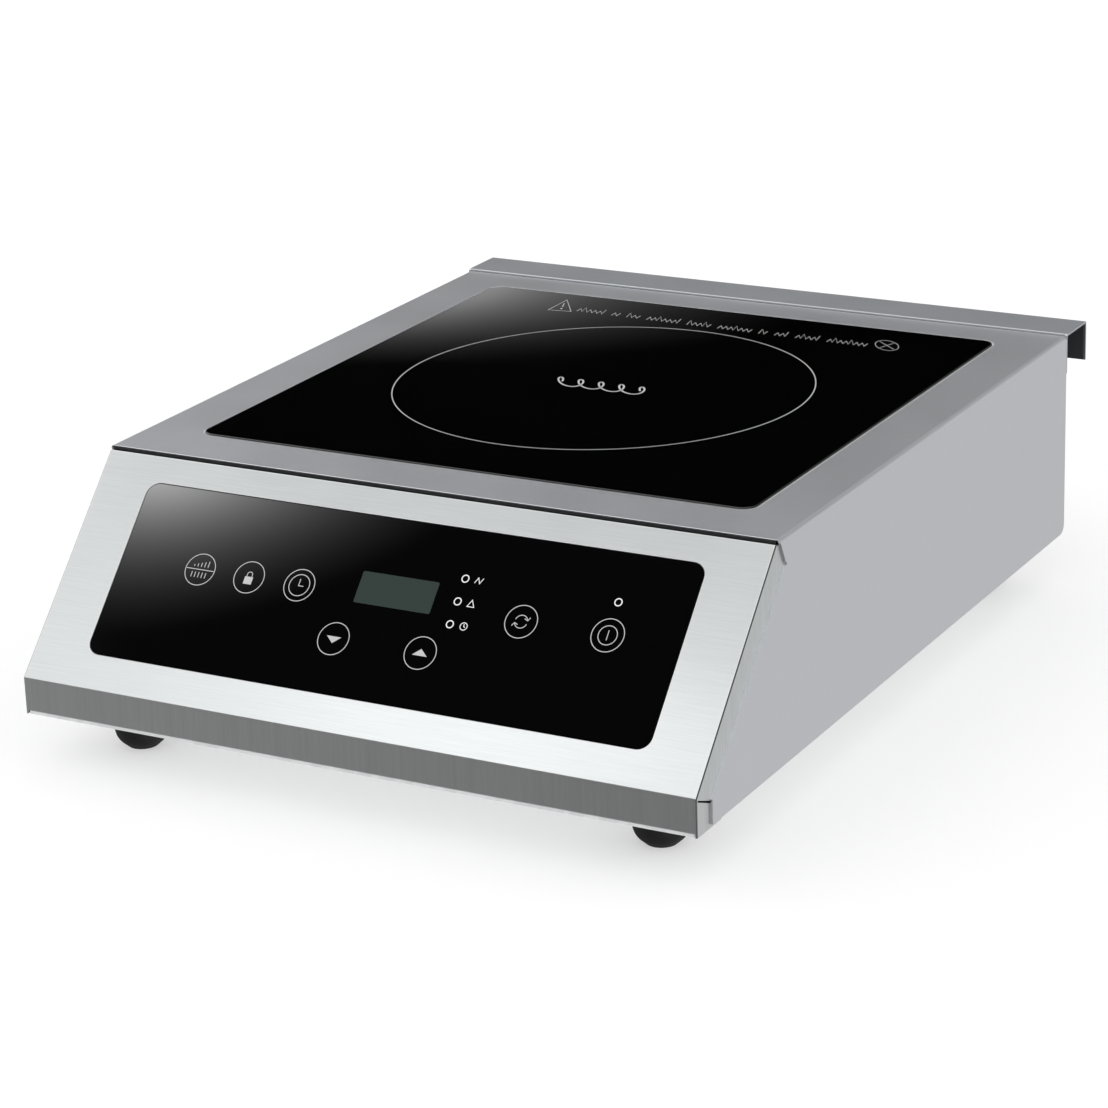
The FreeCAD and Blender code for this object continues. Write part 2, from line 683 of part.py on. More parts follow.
def build_front_panel():
    """The lip and the sloping front in one folded sheet, with sides tucked in behind the side walls."""
    made = body("front_panel")
    end = "(slope_run - front_gap)"
    side_top = f"({CEILING} - gauge - screw_clearance)"
    depth = "(seam_depth + lap)"
    outside = [
        (FRONT, "foot_height"),
        (FRONT, LIP_TOP),
        (behind_lip(end), height_at("0", end)),
        (behind_lip(end), side_top),
        (behind_slope(depth, side_top), side_top),
        knee(depth),
        (behind_lip(depth), "foot_height"),
    ]
    pad(made, "block", "YZ_Plane", [outside], (f"-{INNER_HALF}", INNER_HALF))
    inner_end = f"({end} - gauge)"
    beyond = behind_lip("(2 * slope_run)")
    fold_end = "(deck_height - deck_flange - gauge)"
    inside = [
        (behind_lip("gauge"), f"{FLOOR} + gauge"),
        knee("gauge"),
        (behind_lip(inner_end), height_at("gauge", inner_end)),
        (behind_lip(inner_end), fold_end),
        (behind_lip(end), fold_end),
        (behind_lip(end), "deck_height + gauge"),
        (beyond, "deck_height + gauge"),
        (beyond, "0"),
        (behind_lip("return_width"), "0"),
        (behind_lip("return_width"), f"{FLOOR} + gauge"),
    ]
    between = (f"-({INNER_HALF} - gauge)", f"{INNER_HALF} - gauge")
    pocket(made, "hollow", "YZ_Plane", [inside], between)
    below_lip = [
        (behind_lip("-lip_height"), "0"),
        (behind_lip("(return_width + gauge)"), "0"),
        (behind_lip("(return_width + gauge)"), FLOOR),
        (behind_lip("-lip_height"), FLOOR),
    ]
    pocket(made, "below_lip", "YZ_Plane", [below_lip], between)
    mitre = [
        (behind_lip("gauge"), f"{LIP_TOP} - gauge"),
        (behind_lip("gauge"), f"{LIP_TOP} - gauge - mitre_gap"),
        (knee(depth)[0], f"{knee(depth)[1]} - mitre_gap - gauge"),
        (knee(depth)[0], f"{knee(depth)[1]} - gauge / 2"),
    ]
    pocket(made, "mitre", "YZ_Plane", [mitre], (f"-{HALF}", HALF))
    holes = circles(FRONT_SCREWS, "screw_shank + screw_clearance / 2")
    pocket(made, "screw_holes", "XY_Plane", holes, (f"{FLOOR} - gauge", f"{FLOOR} + 2 * gauge"))
    window = rectangle(
        "0",
        PANEL_UP,
        "panel_width + 2 * panel_gap",
        "panel_length + 2 * panel_gap",
        "panel_corner + panel_gap",
    )
    cutter = pocket(made, "window", "XY_Plane", [window], ("-2 * gauge", "gauge"))
    sketch = cutter.Profile[0]
    angle = number(SLOPE_ANGLE)
    sketch.AttachmentOffset = Placement(Vector(), Rotation(Vector(1, 0, 0), angle))
    bind(sketch, "AttachmentOffset.Rotation.Angle", SLOPE_ANGLE)
    bind(sketch, "AttachmentOffset.Base.y", f"{FRONT} - gauge * {SLOPE_SIN}")
    bind(sketch, "AttachmentOffset.Base.z", f"{LIP_TOP} + gauge * {SLOPE_COS}")
    slope = Vector(0, math.cos(math.radians(angle)), math.sin(math.radians(angle)))

    def on_side_fold(point, way):
        """The side edges of the lip and the slope."""
        at_side = near(abs(point.x), INNER_HALF)
        slope_height = height_at("0", point.y - number(FRONT))
        on_slope = abs(way.dot(slope)) > PARALLEL and near(point.z, slope_height)
        on_lip = abs(way.z) > PARALLEL and near(point.y, FRONT)
        return at_side and (on_slope or on_lip)

    def round_window(point, way):
        """The outer edges of the window, which are the only ones on the slope away from its border."""
        slope_height = height_at("0", point.y - number(FRONT))
        low = number(f"{LIP_TOP} + panel_start / 2")
        high = number("deck_height - gauge - fold_radius")
        inside = abs(point.x) < number("panel_width / 2 + 2 * panel_gap")
        return near(point.z, slope_height) and low < point.z < high and inside

    round_edges(made, "side_folds", "fold_radius", on_side_fold)
    round_edges(made, "window_deburr", "deburr", round_window)
    reach = "(2 * fold_radius)"
    corner = [
        (f"{FRONT} - {reach}", f"{LIP_TOP} - {reach}"),
        (FRONT, f"{LIP_TOP} - {reach}"),
        (FRONT, LIP_TOP, "fold_radius"),
        (f"{FRONT} + {reach} * {SLOPE_COS}", f"{LIP_TOP} + {reach} * {SLOPE_SIN}"),
        (f"{FRONT} - {reach}", f"{LIP_TOP} + {reach} * {SLOPE_SIN}"),
    ]
    pocket(made, "front_bend", "YZ_Plane", [corner], (f"-{HALF}", HALF))
    corner = [
        (f"{FRONT} - {reach}", f"{FLOOR} + {reach}"),
        (FRONT, f"{FLOOR} + {reach}"),
        (FRONT, FLOOR, "fold_radius"),
        (f"{FRONT} + {reach}", FLOOR),
        (f"{FRONT} + {reach}", f"{FLOOR} - gauge"),
        (f"{FRONT} - {reach}", f"{FLOOR} - gauge"),
    ]
    pocket(made, "lower_bend", "YZ_Plane", [corner], between)
    reach = "(3 * top_fold_radius)"
    tip_y, tip_z = behind_lip(end), height_at("0", end)
    corner = [
        (f"{tip_y} - {reach} * {SLOPE_COS}", f"{tip_z} - {reach} * {SLOPE_SIN}"),
        (tip_y, tip_z, "top_fold_radius"),
        (tip_y, f"{tip_z} - {reach}"),
        (f"{tip_y} + {reach}", f"{tip_z} - {reach}"),
        (f"{tip_y} + {reach}", f"{tip_z} + {reach}"),
        (f"{tip_y} - {reach} * {SLOPE_COS}", f"{tip_z} + {reach}"),
    ]
    pocket(made, "top_bend", "YZ_Plane", [corner], (f"-{HALF}", HALF))


def build_rear_panel():
    """The rear wall, with vents, the hole for the mains gland and two forward folds."""
    made = body("rear_panel")
    width = f"2 * ({INNER_HALF} - fit_gap)"
    middle = f"({FLOOR} + {CEILING}) / 2"
    wall = rectangle("0", middle, width, f"{CEILING} - {FLOOR}", "bend_radius")
    pad(made, "wall", "XZ_Plane", [wall], (f"{REAR} - gauge", REAR))
    narrow = f"{width} - 4 * bend_radius"
    lower = rectangle("0", f"{REAR} - return_width / 2", narrow, "return_width")
    pad(made, "lower_fold", "XY_Plane", [lower], (FLOOR, f"{FLOOR} + gauge"))
    upper_width = "(return_width - 2 * gauge)"
    upper = rectangle("0", f"{REAR} - {upper_width} / 2", narrow, upper_width)
    pad(made, "upper_fold", "XY_Plane", [upper], (f"{CEILING} - gauge", CEILING))
    through = (f"{REAR} - 2 * gauge", f"{REAR} + gauge")
    first = "(-slot_pitch * (vent_count - 1) / 2)"
    vent = rectangle(first, "vent_height", "slot_width", "vent_length", "slot_corner")
    slot = pocket(made, "vent", "XZ_Plane", [vent], through)
    repeat_across(made, "vents", [slot], "slot_pitch", "vent_count")
    inlet = Circle("inlet_across", "inlet_height", "gland_thread + screw_clearance")
    pocket(made, "inlet", "XZ_Plane", [inlet], through)
    rivets = circles([(x, RIVET_Z) for x in RIVET_XS], "rivet_shank + screw_clearance / 2")
    pocket(made, "rivet_holes", "XZ_Plane", rivets, through)
    holes = circles(REAR_SCREWS, "screw_shank + screw_clearance / 2")
    pocket(made, "screw_holes", "XY_Plane", holes, (f"{FLOOR} - gauge", f"{FLOOR} + 2 * gauge"))


def build_rear_spacer():
    """The inverted channel that keeps the vents clear of the wall behind the hob."""
    made = body("rear_spacer")
    top = "(deck_height + gauge)"
    back = f"({REAR} + spacer_depth)"
    foot = f"({top} - spacer_drop)"
    section = [
        (REAR, foot),
        (REAR, top, "spacer_fold_radius"),
        (back, top, "spacer_fold_radius"),
        (back, foot),
        (f"{back} - gauge", foot),
        (f"{back} - gauge", f"{top} - gauge", "spacer_fold_radius - gauge"),
        (f"{REAR} + gauge", f"{top} - gauge", "spacer_fold_radius - gauge"),
        (f"{REAR} + gauge", foot),
    ]
    pad(made, "channel", "YZ_Plane", [section], (f"-{HALF}", HALF))
    rivets = circles([(x, RIVET_Z) for x in RIVET_XS], "rivet_shank + screw_clearance / 2")
    pocket(made, "rivet_holes", "XZ_Plane", rivets, (f"{REAR} - gauge", f"{REAR} + 2 * gauge"))


def build_base_plate():
    """The flat bottom, with slots under both fans and holes for the feet and the screws."""
    made = body("base_plate")
    inset = "gauge / 2"
    width = f"2 * ({HALF} - 2 * gauge - fit_gap)"
    plate = rectangle("0", f"({FRONT} + {REAR}) / 2", width, f"case_depth - 2 * {inset}", "gauge")
    pad(made, "plate", "XY_Plane", [plate], ("foot_height", FLOOR))
    through = ("foot_height - gauge", f"{FLOOR} + gauge")
    for side, name in ((-1, "left"), (1, "right")):
        first = f"({side} * fan_across - slot_pitch * (intake_count - 1) / 2)"
        slot = rectangle(first, FAN_Y, "slot_width", "intake_length", "slot_corner")
        cut = pocket(made, f"{name}_slot", "XY_Plane", [slot], through)
        repeat_across(made, f"{name}_slots", [cut], "slot_pitch", "intake_count")
    holes = circles(SIDE_SCREWS + FRONT_SCREWS + REAR_SCREWS, "screw_shank + screw_clearance")
    pocket(made, "screw_holes", "XY_Plane", holes, through)
    feet = circles(FEET.values(), "foot_bolt + screw_clearance")
    pocket(made, "foot_holes", "XY_Plane", feet, through)


def build_feet():
    """Four rounded rubber feet, each with a recess for its bolt."""
    for label, (across, along) in FEET.items():
        made = body(label)
        outline = [
            ("foot_bolt_head + 2 * screw_clearance", "0"),
            ("foot_sole", "0"),
            ("foot_radius", "foot_dome", "foot_round"),
            ("foot_radius", "foot_height"),
            ("foot_bolt + screw_clearance", "foot_height"),
            ("foot_bolt + screw_clearance", "foot_bolt_seat"),
            ("foot_bolt_head + 2 * screw_clearance", "foot_bolt_seat"),
        ]
        revolve(made, "rubber", outline)
        bind(made, "Placement.Base.x", across)
        bind(made, "Placement.Base.y", along)


def build_fasteners():
    """Groups of equal screws, nuts and rivets that hold the case together."""
    screws = SIDE_SCREWS + FRONT_SCREWS + REAR_SCREWS
    base = "foot_height"
    made = body("base_screws")
    heads = circles(screws, "screw_head")
    pad(made, "heads", "XY_Plane", heads, (f"{base} - screw_head_height", base))
    shanks = circles(screws, "screw_shank")
    pad(made, "shanks", "XY_Plane", shanks, (base, f"{base} + screw_length"))

    made = body("foot_bolts")
    seat = "foot_bolt_seat"
    nut_top = f"({FLOOR} + foot_nut_height)"
    heads = circles(FEET.values(), "foot_bolt_head")
    pad(made, "heads", "XY_Plane", heads, (f"{seat} - foot_bolt_head_height", seat))
    shanks = circles(FEET.values(), "foot_bolt")
    pad(made, "shanks", "XY_Plane", shanks, (seat, f"{nut_top} + gauge"))

    made = body("foot_nuts")
    nuts = [hexagon(across, along, "foot_nut") for across, along in FEET.values()]
    pad(made, "nuts", "XY_Plane", nuts, (FLOOR, nut_top))
    bores = circles(FEET.values(), "foot_bolt + screw_clearance / 2")
    pocket(made, "bores", "XY_Plane", bores, (f"{FLOOR} - gauge", f"{nut_top} + gauge"))

    made = body("spacer_rivets")
    places = [(x, RIVET_Z) for x in RIVET_XS]
    outer = f"({REAR} + gauge)"
    heads = circles(places, "rivet_head")
    pad(made, "heads", "XZ_Plane", heads, (outer, f"{outer} + rivet_head_height"))
    shanks = circles(places, "rivet_shank")
    pad(made, "shanks", "XZ_Plane", shanks, (f"{REAR} - 3 * gauge", outer))


# ---------------------------------------------------------------------------------- the cooking plate


def build_cooking_plate():
    """The glass, the shelf ring under the deck that carries it, and the silicone between them."""
    made = body("ceramic_glass")
    outline = rectangle("0", GLASS_Y, "glass_width", "glass_length", "glass_corner")
    pad(made, "plate", "XY_Plane", [outline], (GLASS_BOTTOM, GLASS_TOP))
    round_edges(made, "edge", "glass_edge", lambda point, way: near(point.z, GLASS_TOP))

    opening = rectangle(
        "0",
        GLASS_Y,
        "glass_width - 2 * shelf_width",
        "glass_length - 2 * shelf_width",
        "glass_corner",
    )
    recess = rectangle(
        "0",
        GLASS_Y,
        "glass_width + 2 * seal_gap",
        "glass_length + 2 * seal_gap",
        "glass_corner + seal_gap",
    )
    made = body("glass_shelf")
    ring = rectangle(
        "0",
        GLASS_Y,
        "glass_width + 2 * (seal_gap + shelf_lap)",
        "glass_length + 2 * (seal_gap + shelf_lap)",
        "glass_corner",
    )
    pad(made, "ring", "XY_Plane", [ring], (f"{SEAT} - gauge", CEILING))
    pocket(made, "recess", "XY_Plane", [recess], (SEAT, f"{CEILING} + gauge"))
    pocket(made, "opening", "XY_Plane", [opening], (f"{SEAT} - 2 * gauge", f"{SEAT} + gauge"))

    made = body("glass_seal")
    pad(made, "bead", "XY_Plane", [recess], (SEAT, "deck_height - glass_proud"))
    pocket(made, "glass_space", "XY_Plane", [outline], (GLASS_BOTTOM, "deck_height + gauge"))
    inner = rectangle(
        "0",
        GLASS_Y,
        "glass_width - 2 * seal_width",
        "glass_length - 2 * seal_width",
        "gauge",
    )
    pocket(made, "opening", "XY_Plane", [inner], (f"{SEAT} - gauge", f"{GLASS_BOTTOM} + gauge"))


# ------------------------------------------------------------------------------------ the touch panel


def panel_rectangle(margin, radius):
    """The touch glass's outline, grown by a margin on every side."""
    width = f"panel_width + 2 * ({margin})"
    length = f"panel_length + 2 * ({margin})"
    return rectangle("0", PANEL_UP, width, length, radius)


def build_touch_glass():
    """The touch glass and the ring of tape that holds it to its tray."""
    outline = panel_rectangle("0", "panel_corner")
    glass = body("control_glass")
    pad(glass, "plate", "XY_Plane", [outline], (PANEL_BACK, "panel_proud"))

    tape = body("control_glass_tape")
    pad(tape, "ring", "XY_Plane", [outline], (TAPE_BACK, PANEL_BACK))
    opening = panel_rectangle("-ledge_width", "gauge")
    pocket(tape, "opening", "XY_Plane", [opening], (f"{TAPE_BACK} - gauge", f"{PANEL_BACK} + gauge"))
    return glass, tape


def build_tray():
    """The tray behind the touch glass, with a flange behind the slope and a boss for each screw."""
    tray = body("control_tray")
    below = "(-tray_depth - gauge)"
    flange = panel_rectangle("panel_gap + tray_lap", "panel_corner")
    pad(tray, "flange", "XY_Plane", [flange], (TAPE_BACK, "-gauge"))
    box = panel_rectangle("panel_gap + tray_wall", "panel_corner")
    pad(tray, "box", "XY_Plane", [box], ("-tray_depth", TAPE_BACK))
    recess = panel_rectangle("panel_gap", "panel_corner + panel_gap")
    pocket(tray, "recess", "XY_Plane", [recess], (TAPE_BACK, "0"))
    opening = panel_rectangle("-ledge_width", "gauge")
    pocket(tray, "opening", "XY_Plane", [opening], (below, "0"))
    pocket(tray, "cavity", "XY_Plane", [recess], (below, LEDGE))
    bosses = circles(CONTROL_BOSSES, "boss_radius")
    pad(tray, "bosses", "XY_Plane", bosses, (BOARD_FACE, LEDGE))
    pilots = circles(CONTROL_BOSSES, "board_screw + screw_clearance / 4")
    pocket(tray, "pilots", "XY_Plane", pilots, (f"{BOARD_FACE} - gauge", f"{LEDGE} - gauge / 2"))
    return tray


def build_control_board():
    """The board behind the keys, its screws, and its display, lights and key springs."""
    board = body("control_board")
    back = f"({BOARD_FACE} - board_gauge)"
    lens_top = f"({PANEL_BACK} - 2 * fit_gap)"
    slab = panel_rectangle("-control_board_margin", "panel_corner")
    pad(board, "slab", "XY_Plane", [slab], (back, BOARD_FACE))
    holes = circles(CONTROL_BOSSES, "board_screw + screw_clearance")
    pocket(board, "holes", "XY_Plane", holes, (f"{back} - gauge", f"{BOARD_FACE} + gauge"))

    screws = body("control_board_screws")
    heads = circles(CONTROL_BOSSES, "board_screw_head")
    pad(screws, "heads", "XY_Plane", heads, (f"{back} - board_screw_head_height", back))
    shanks = circles(CONTROL_BOSSES, "board_screw")
    pad(screws, "shanks", "XY_Plane", shanks, (back, f"{LEDGE} - gauge"))

    display = body("led_display")
    face = rectangle("display_across", "display_up", "display_width", "display_length")
    pad(display, "block", "XY_Plane", [face], (BOARD_FACE, lens_top))

    leds = body("indicator_leds")
    pad(leds, "lenses", "XY_Plane", circles(LEDS, "led_radius"), (BOARD_FACE, lens_top))

    springs = body("key_springs")
    coils = circles(KEYS, "key_spring_radius") + circles(KEYS, "key_spring_radius - gauge")
    pad(springs, "coils", "XY_Plane", coils, (BOARD_FACE, PANEL_BACK))
    return board, screws, display, leds, springs


def build_touch_panel():
    """Everything that is drawn in the slope frame, laid on the sloping front."""
    for made in (*build_touch_glass(), build_tray(), *build_control_board()):
        lay_on_slope(made)


# ------------------------------------------------------------------------------------------- the coil


def build_coil():
    """The coil and its former, pressed up against the glass by springs on three posts."""
    centre = [("0", ZONE_Y)]
    mica = body("mica_sheet")
    ring = circles(centre, "former_radius") + circles(centre, "former_bore + sensor_radius")
    pad(mica, "sheet", "XY_Plane", ring, (MICA_BOTTOM, GLASS_BOTTOM))

    coil = body("induction_coil")
    winding = circles(centre, "coil_radius") + circles(centre, "coil_bore")
    pad(coil, "winding", "XY_Plane", winding, (COIL_BOTTOM, MICA_BOTTOM))

    former = body("coil_former")
    middle = [("0", "0")]
    plate = circles(middle, "former_radius") + circles(middle, "former_bore")
    pad(former, "plate", "XY_Plane", plate, (FORMER_BOTTOM, COIL_BOTTOM))
    rib_middle = "(ferrite_start + ferrite_length / 2)"
    offset = "(ferrite_width / 2 + fit_gap + rib_width / 2)"
    ribs = [rectangle(rib_middle, f"{side} * {offset}", "rib_length", "rib_width") for side in (-1, 1)]
    rib = pad(former, "ribs", "XY_Plane", ribs, (FERRITE_BOTTOM, FORMER_BOTTOM))
    repeat_round(former, "all_ribs", [rib], "ferrite_count")
    pins = circles([(across, f"{along} - {ZONE_Y}") for across, along in POSTS], "post_pin + fit_gap")
    pocket(former, "pin_holes", "XY_Plane", pins, (f"{FORMER_BOTTOM} - gauge", f"{COIL_BOTTOM} + gauge"))
    bind(former, "Placement.Base.y", ZONE_Y)

    ferrites = body("ferrite_bars")
    bar = rectangle(rib_middle, "0", "ferrite_length", "ferrite_width")
    first = pad(ferrites, "bar", "XY_Plane", [bar], (FERRITE_BOTTOM, FORMER_BOTTOM))
    repeat_round(ferrites, "bars", [first], "ferrite_count")
    bind(ferrites, "Placement.Base.y", ZONE_Y)

    holder = body("sensor_holder")
    grommet = circles(centre, "former_bore + grommet_lip") + circles(centre, "sensor_radius")
    pad(holder, "flange", "XY_Plane", grommet, (COIL_BOTTOM, f"{COIL_BOTTOM} + gauge"))
    plug = circles(centre, "former_bore - fit_gap") + circles(centre, "sensor_radius")
    pad(holder, "plug", "XY_Plane", plug, (f"{FORMER_BOTTOM} - 2 * gauge", COIL_BOTTOM))

    sensor = body("temperature_sensor")
    bead = circles(centre, "sensor_radius - fit_gap / 2")
    pad(sensor, "bead", "XY_Plane", bead, (f"{FORMER_BOTTOM} - sensor_tail", GLASS_BOTTOM))

    posts = body("coil_posts")
    shoulder = f"({FLOOR} + post_shoulder)"
    pad(posts, "columns", "XY_Plane", circles(POSTS, "post_radius"), (FLOOR, shoulder))
    pad(posts, "pins", "XY_Plane", circles(POSTS, "post_pin"), (shoulder, f"{COIL_BOTTOM} - gauge / 2"))

    springs = body("coil_springs")
    turns = circles(POSTS, "spring_radius") + circles(POSTS, "spring_radius - spring_wire")
    pad(springs, "turns", "XY_Plane", turns, (shoulder, FORMER_BOTTOM))


# ------------------------------------------------------------------------------------ the power board


def build_power_board():
    """The board on its standoffs, with its screws."""
    made = body("power_board")
    slab = rectangle("0", BOARD_Y, "board_width", "board_length", "bend_radius")
    pad(made, "slab", "XY_Plane", [slab], (BOARD_BOTTOM, BOARD_TOP))
    holes = circles(STANDOFFS, "board_screw + screw_clearance")
    pocket(made, "holes", "XY_Plane", holes, (f"{BOARD_BOTTOM} - gauge", f"{BOARD_TOP} + gauge"))

    made = body("board_standoffs")
    columns = circles(STANDOFFS, "standoff_radius")
    pad(made, "columns", "XY_Plane", columns, (FLOOR, BOARD_BOTTOM))
    bores = circles(STANDOFFS, "board_screw + screw_clearance / 4")
    bore_span = (f"{BOARD_BOTTOM} - standoff_pilot", f"{BOARD_BOTTOM} + gauge")
    pocket(made, "bores", "XY_Plane", bores, bore_span)

    made = body("power_board_screws")
    heads = circles(STANDOFFS, "board_screw_head")
    pad(made, "heads", "XY_Plane", heads, (BOARD_TOP, f"{BOARD_TOP} + board_screw_head_height"))
    shanks = circles(STANDOFFS, "board_screw")
    pad(made, "shanks", "XY_Plane", shanks, (f"{BOARD_BOTTOM} - board_screw_length", BOARD_TOP))


def build_heat_sink():
    """The finned heat sink, and the flat devices clamped between it and the board."""
    sink_x = "(-board_width / 2 + sink_inset + sink_width / 2)"
    base_top = f"({DEVICE_TOP} + sink_base)"
    made = body("heat_sink")
    base = rectangle(sink_x, BOARD_Y, "sink_width", "sink_length")
    pad(made, "base", "XY_Plane", [base], (DEVICE_TOP, base_top))
    first = f"({sink_x} - sink_width / 2 + fin_width / 2)"
    fin = rectangle(first, BOARD_Y, "fin_width", "sink_length")
    blade = pad(made, "fin", "XY_Plane", [fin], (base_top, f"{base_top} + fin_height"))
    repeat_across(made, "fins", [blade], "(sink_width - fin_width) / (fin_count - 1)", "fin_count")

    on_board = (BOARD_TOP, DEVICE_TOP)
    made = body("power_transistors")
    pair = [
        rectangle(
            f"{sink_x} + {side} * transistor_spacing / 2",
            f"{BOARD_Y} - transistor_shift",
            "transistor_width",
            "transistor_length",
        )
        for side in (-1, 1)
    ]
    pad(made, "cases", "XY_Plane", pair, on_board)

    made = body("bridge_rectifier")
    case = rectangle(sink_x, f"{BOARD_Y} + rectifier_shift", "rectifier_width", "rectifier_length")
    pad(made, "case", "XY_Plane", [case], on_board)


def build_capacitors():
    """The two pairs of box capacitors and the choke on the board's right half."""
    for name in ("filter", "resonance"):
        made = body(f"{name}_capacitors")
        pair = [
            rectangle(
                f"{name}_across",
                f"{BOARD_Y} + {side} * {name}_spacing / 2",
                f"{name}_width",
                f"{name}_length",
                "gauge",
            )
            for side in (-1, 1)
        ]
        pad(made, "cases", "XY_Plane", pair, (BOARD_TOP, f"{BOARD_TOP} + {name}_height"))

    made = body("filter_choke")
    middle = [("filter_across", BOARD_Y)]
    ring = circles(middle, "choke_radius") + circles(middle, "choke_bore")
    pad(made, "ring", "XY_Plane", ring, (BOARD_TOP, f"{BOARD_TOP} + choke_height"))


# ------------------------------------------------------------------------------------------- the fans


def build_fan(name, side):
    """One axial fan: a fixed frame with its bush and stator, and a turning rotor on its shaft."""
    axis = (f"{side} * fan_across", FAN_Y)
    middle = [("0", "0")]
    hub_top = f"({FLOOR} + hub_thickness)"
    tube_top = f"({hub_top} + bush_length)"
    stator_bottom = f"({hub_top} + 2 * gauge)"

    frame = body(f"{name}_fan_frame")
    square = rectangle("0", "0", "fan_size", "fan_size", "rear_corner")
    pad(frame, "square", "XY_Plane", [square], (FLOOR, f"{FLOOR} + fan_depth"))
    above = f"{FLOOR} + fan_depth + gauge"
    pocket(frame, "duct", "XY_Plane", circles(middle, "fan_bore"), (f"{FLOOR} - gauge", above))
    span = "fan_size - 2 * gauge"
    for name_of_strut, width, height in (("cross", span, "strut_width"), ("long", "strut_width", span)):
        strut = rectangle("0", "0", width, height)
        pad(frame, f"{name_of_strut}_strut", "XY_Plane", [strut], (FLOOR, hub_top))
    pad(frame, "hub", "XY_Plane", circles(middle, "hub_radius"), (FLOOR, hub_top))
    pad(frame, "tube", "XY_Plane", circles(middle, "tube_radius"), (f"{hub_top} - gauge", tube_top))
    bore = circles(middle, "bush_radius")
    pocket(frame, "bore", "XY_Plane", bore, (f"{hub_top} - gauge / 2", f"{tube_top} + gauge"))
    corners = [
        (f"{across} * fan_screw_spacing / 2", f"{along} * fan_screw_spacing / 2")
        for across in (-1, 1)
        for along in (-1, 1)
    ]
    holes = circles(corners, "screw_shank + screw_clearance")
    pocket(frame, "screw_holes", "XY_Plane", holes, (f"{FLOOR} - gauge", above))

    bush = body(f"{name}_fan_bush")
    sleeve = circles(middle, "bush_radius") + circles(middle, "shaft_radius + shaft_clearance")
    pad(bush, "sleeve", "XY_Plane", sleeve, (f"{hub_top} - gauge / 2", tube_top))

    stator = body(f"{name}_fan_stator")
    core = circles(middle, "stator_radius") + circles(middle, "tube_radius")
    pad(stator, "core", "XY_Plane", core, (stator_bottom, f"{stator_bottom} + stator_length"))

    shaft = body(f"{name}_fan_shaft")
    cup_top = f"({FLOOR} + cup_top)"
    pad(shaft, "rod", "XY_Plane", circles(middle, "shaft_radius"), (hub_top, f"{cup_top} - cup_wall"))

    rotor = body(f"{name}_fan_rotor")
    low = f"({hub_top} + gauge)"
    cup = [
        ("0", f"{cup_top} - cup_wall"),
        ("cup_radius - cup_wall", f"{cup_top} - cup_wall"),
        ("cup_radius - cup_wall", low),
        ("cup_radius", low),
        ("cup_radius", cup_top, "gauge"),
        ("0", cup_top),
    ]
    revolve(rotor, "cup", cup)
    foot = f"({low} + gauge)"
    blade_section = [
        ("-blade_width / 2", foot),
        ("-blade_width / 2 + blade_thickness", foot),
        ("blade_width / 2", f"{foot} + blade_rise"),
        ("blade_width / 2 - blade_thickness", f"{foot} + blade_rise"),
    ]
    root = "(cup_radius - cup_wall / 2)"
    blade = pad(rotor, "blade", "XZ_Plane", [blade_section], (root, "blade_reach"))
    repeat_round(rotor, "blades", [blade], "blade_count")

    for made in (frame, bush, stator, shaft, rotor):
        bind(made, "Placement.Base.x", axis[0])
        bind(made, "Placement.Base.y", axis[1])
    return [(f"{axis[0]} + {across}", f"{axis[1]} + {along}") for across, along in corners]


def build_fans():
    """Both fans and the screws that hold them down."""
    places = build_fan("left", -1) + build_fan("right", 1)
    top = f"({FLOOR} + fan_depth)"
    made = body("fan_screws")
    pad(made, "heads", "XY_Plane", circles(places, "screw_head"), (top, f"{top} + screw_head_height"))
    pad(made, "shanks", "XY_Plane", circles(places, "screw_shank"), (FLOOR, top))


# ------------------------------------------------------------------------------------ the mains inlet


def build_gland():
    """The cable gland in the rear wall and the nut that holds it from inside."""
    centre = ("inlet_across", "inlet_height")
    flange_end = f"({REAR} + gland_flange)"
    dome_end = f"({flange_end} + gland_dome)"
    tail = f"({REAR} - gland_tail)"
    inner = f"({REAR} - gauge)"
    nut_end = f"({inner} - nut_thickness)"
    made = body("cable_gland")
    pad(made, "flange", "XZ_Plane", [hexagon(*centre, "gland_hex")], (REAR, flange_end))
    dome = circles([centre], "gland_hex / 2 - gauge")
    pad(made, "dome", "XZ_Plane", dome, (flange_end, dome_end))
    pad(made, "thread", "XZ_Plane", circles([centre], "gland_thread"), (tail, REAR))
    bore = circles([centre], "cable_radius")
    pocket(made, "bore", "XZ_Plane", bore, (f"{tail} - gauge", f"{dome_end} + gauge"))
    axis_point = Vector(number(centre[0]), number(dome_end), number(centre[1]))

    def on_outer_rim(point, way):
        """The round edge at the end of the dome, not the bore's."""
        radius = point.distanceToPoint(axis_point)
        return near(point.y, dome_end) and radius > number("cable_radius + gauge")

    round_edges(made, "rim", "bend_radius", on_outer_rim)

    made = body("gland_nut")
    pad(made, "nut", "XZ_Plane", [hexagon(*centre, "gland_hex")], (nut_end, inner))
    bore = circles([centre], "gland_thread + screw_clearance / 2")
    pocket(made, "bore", "XZ_Plane", bore, (f"{nut_end} - gauge", REAR))


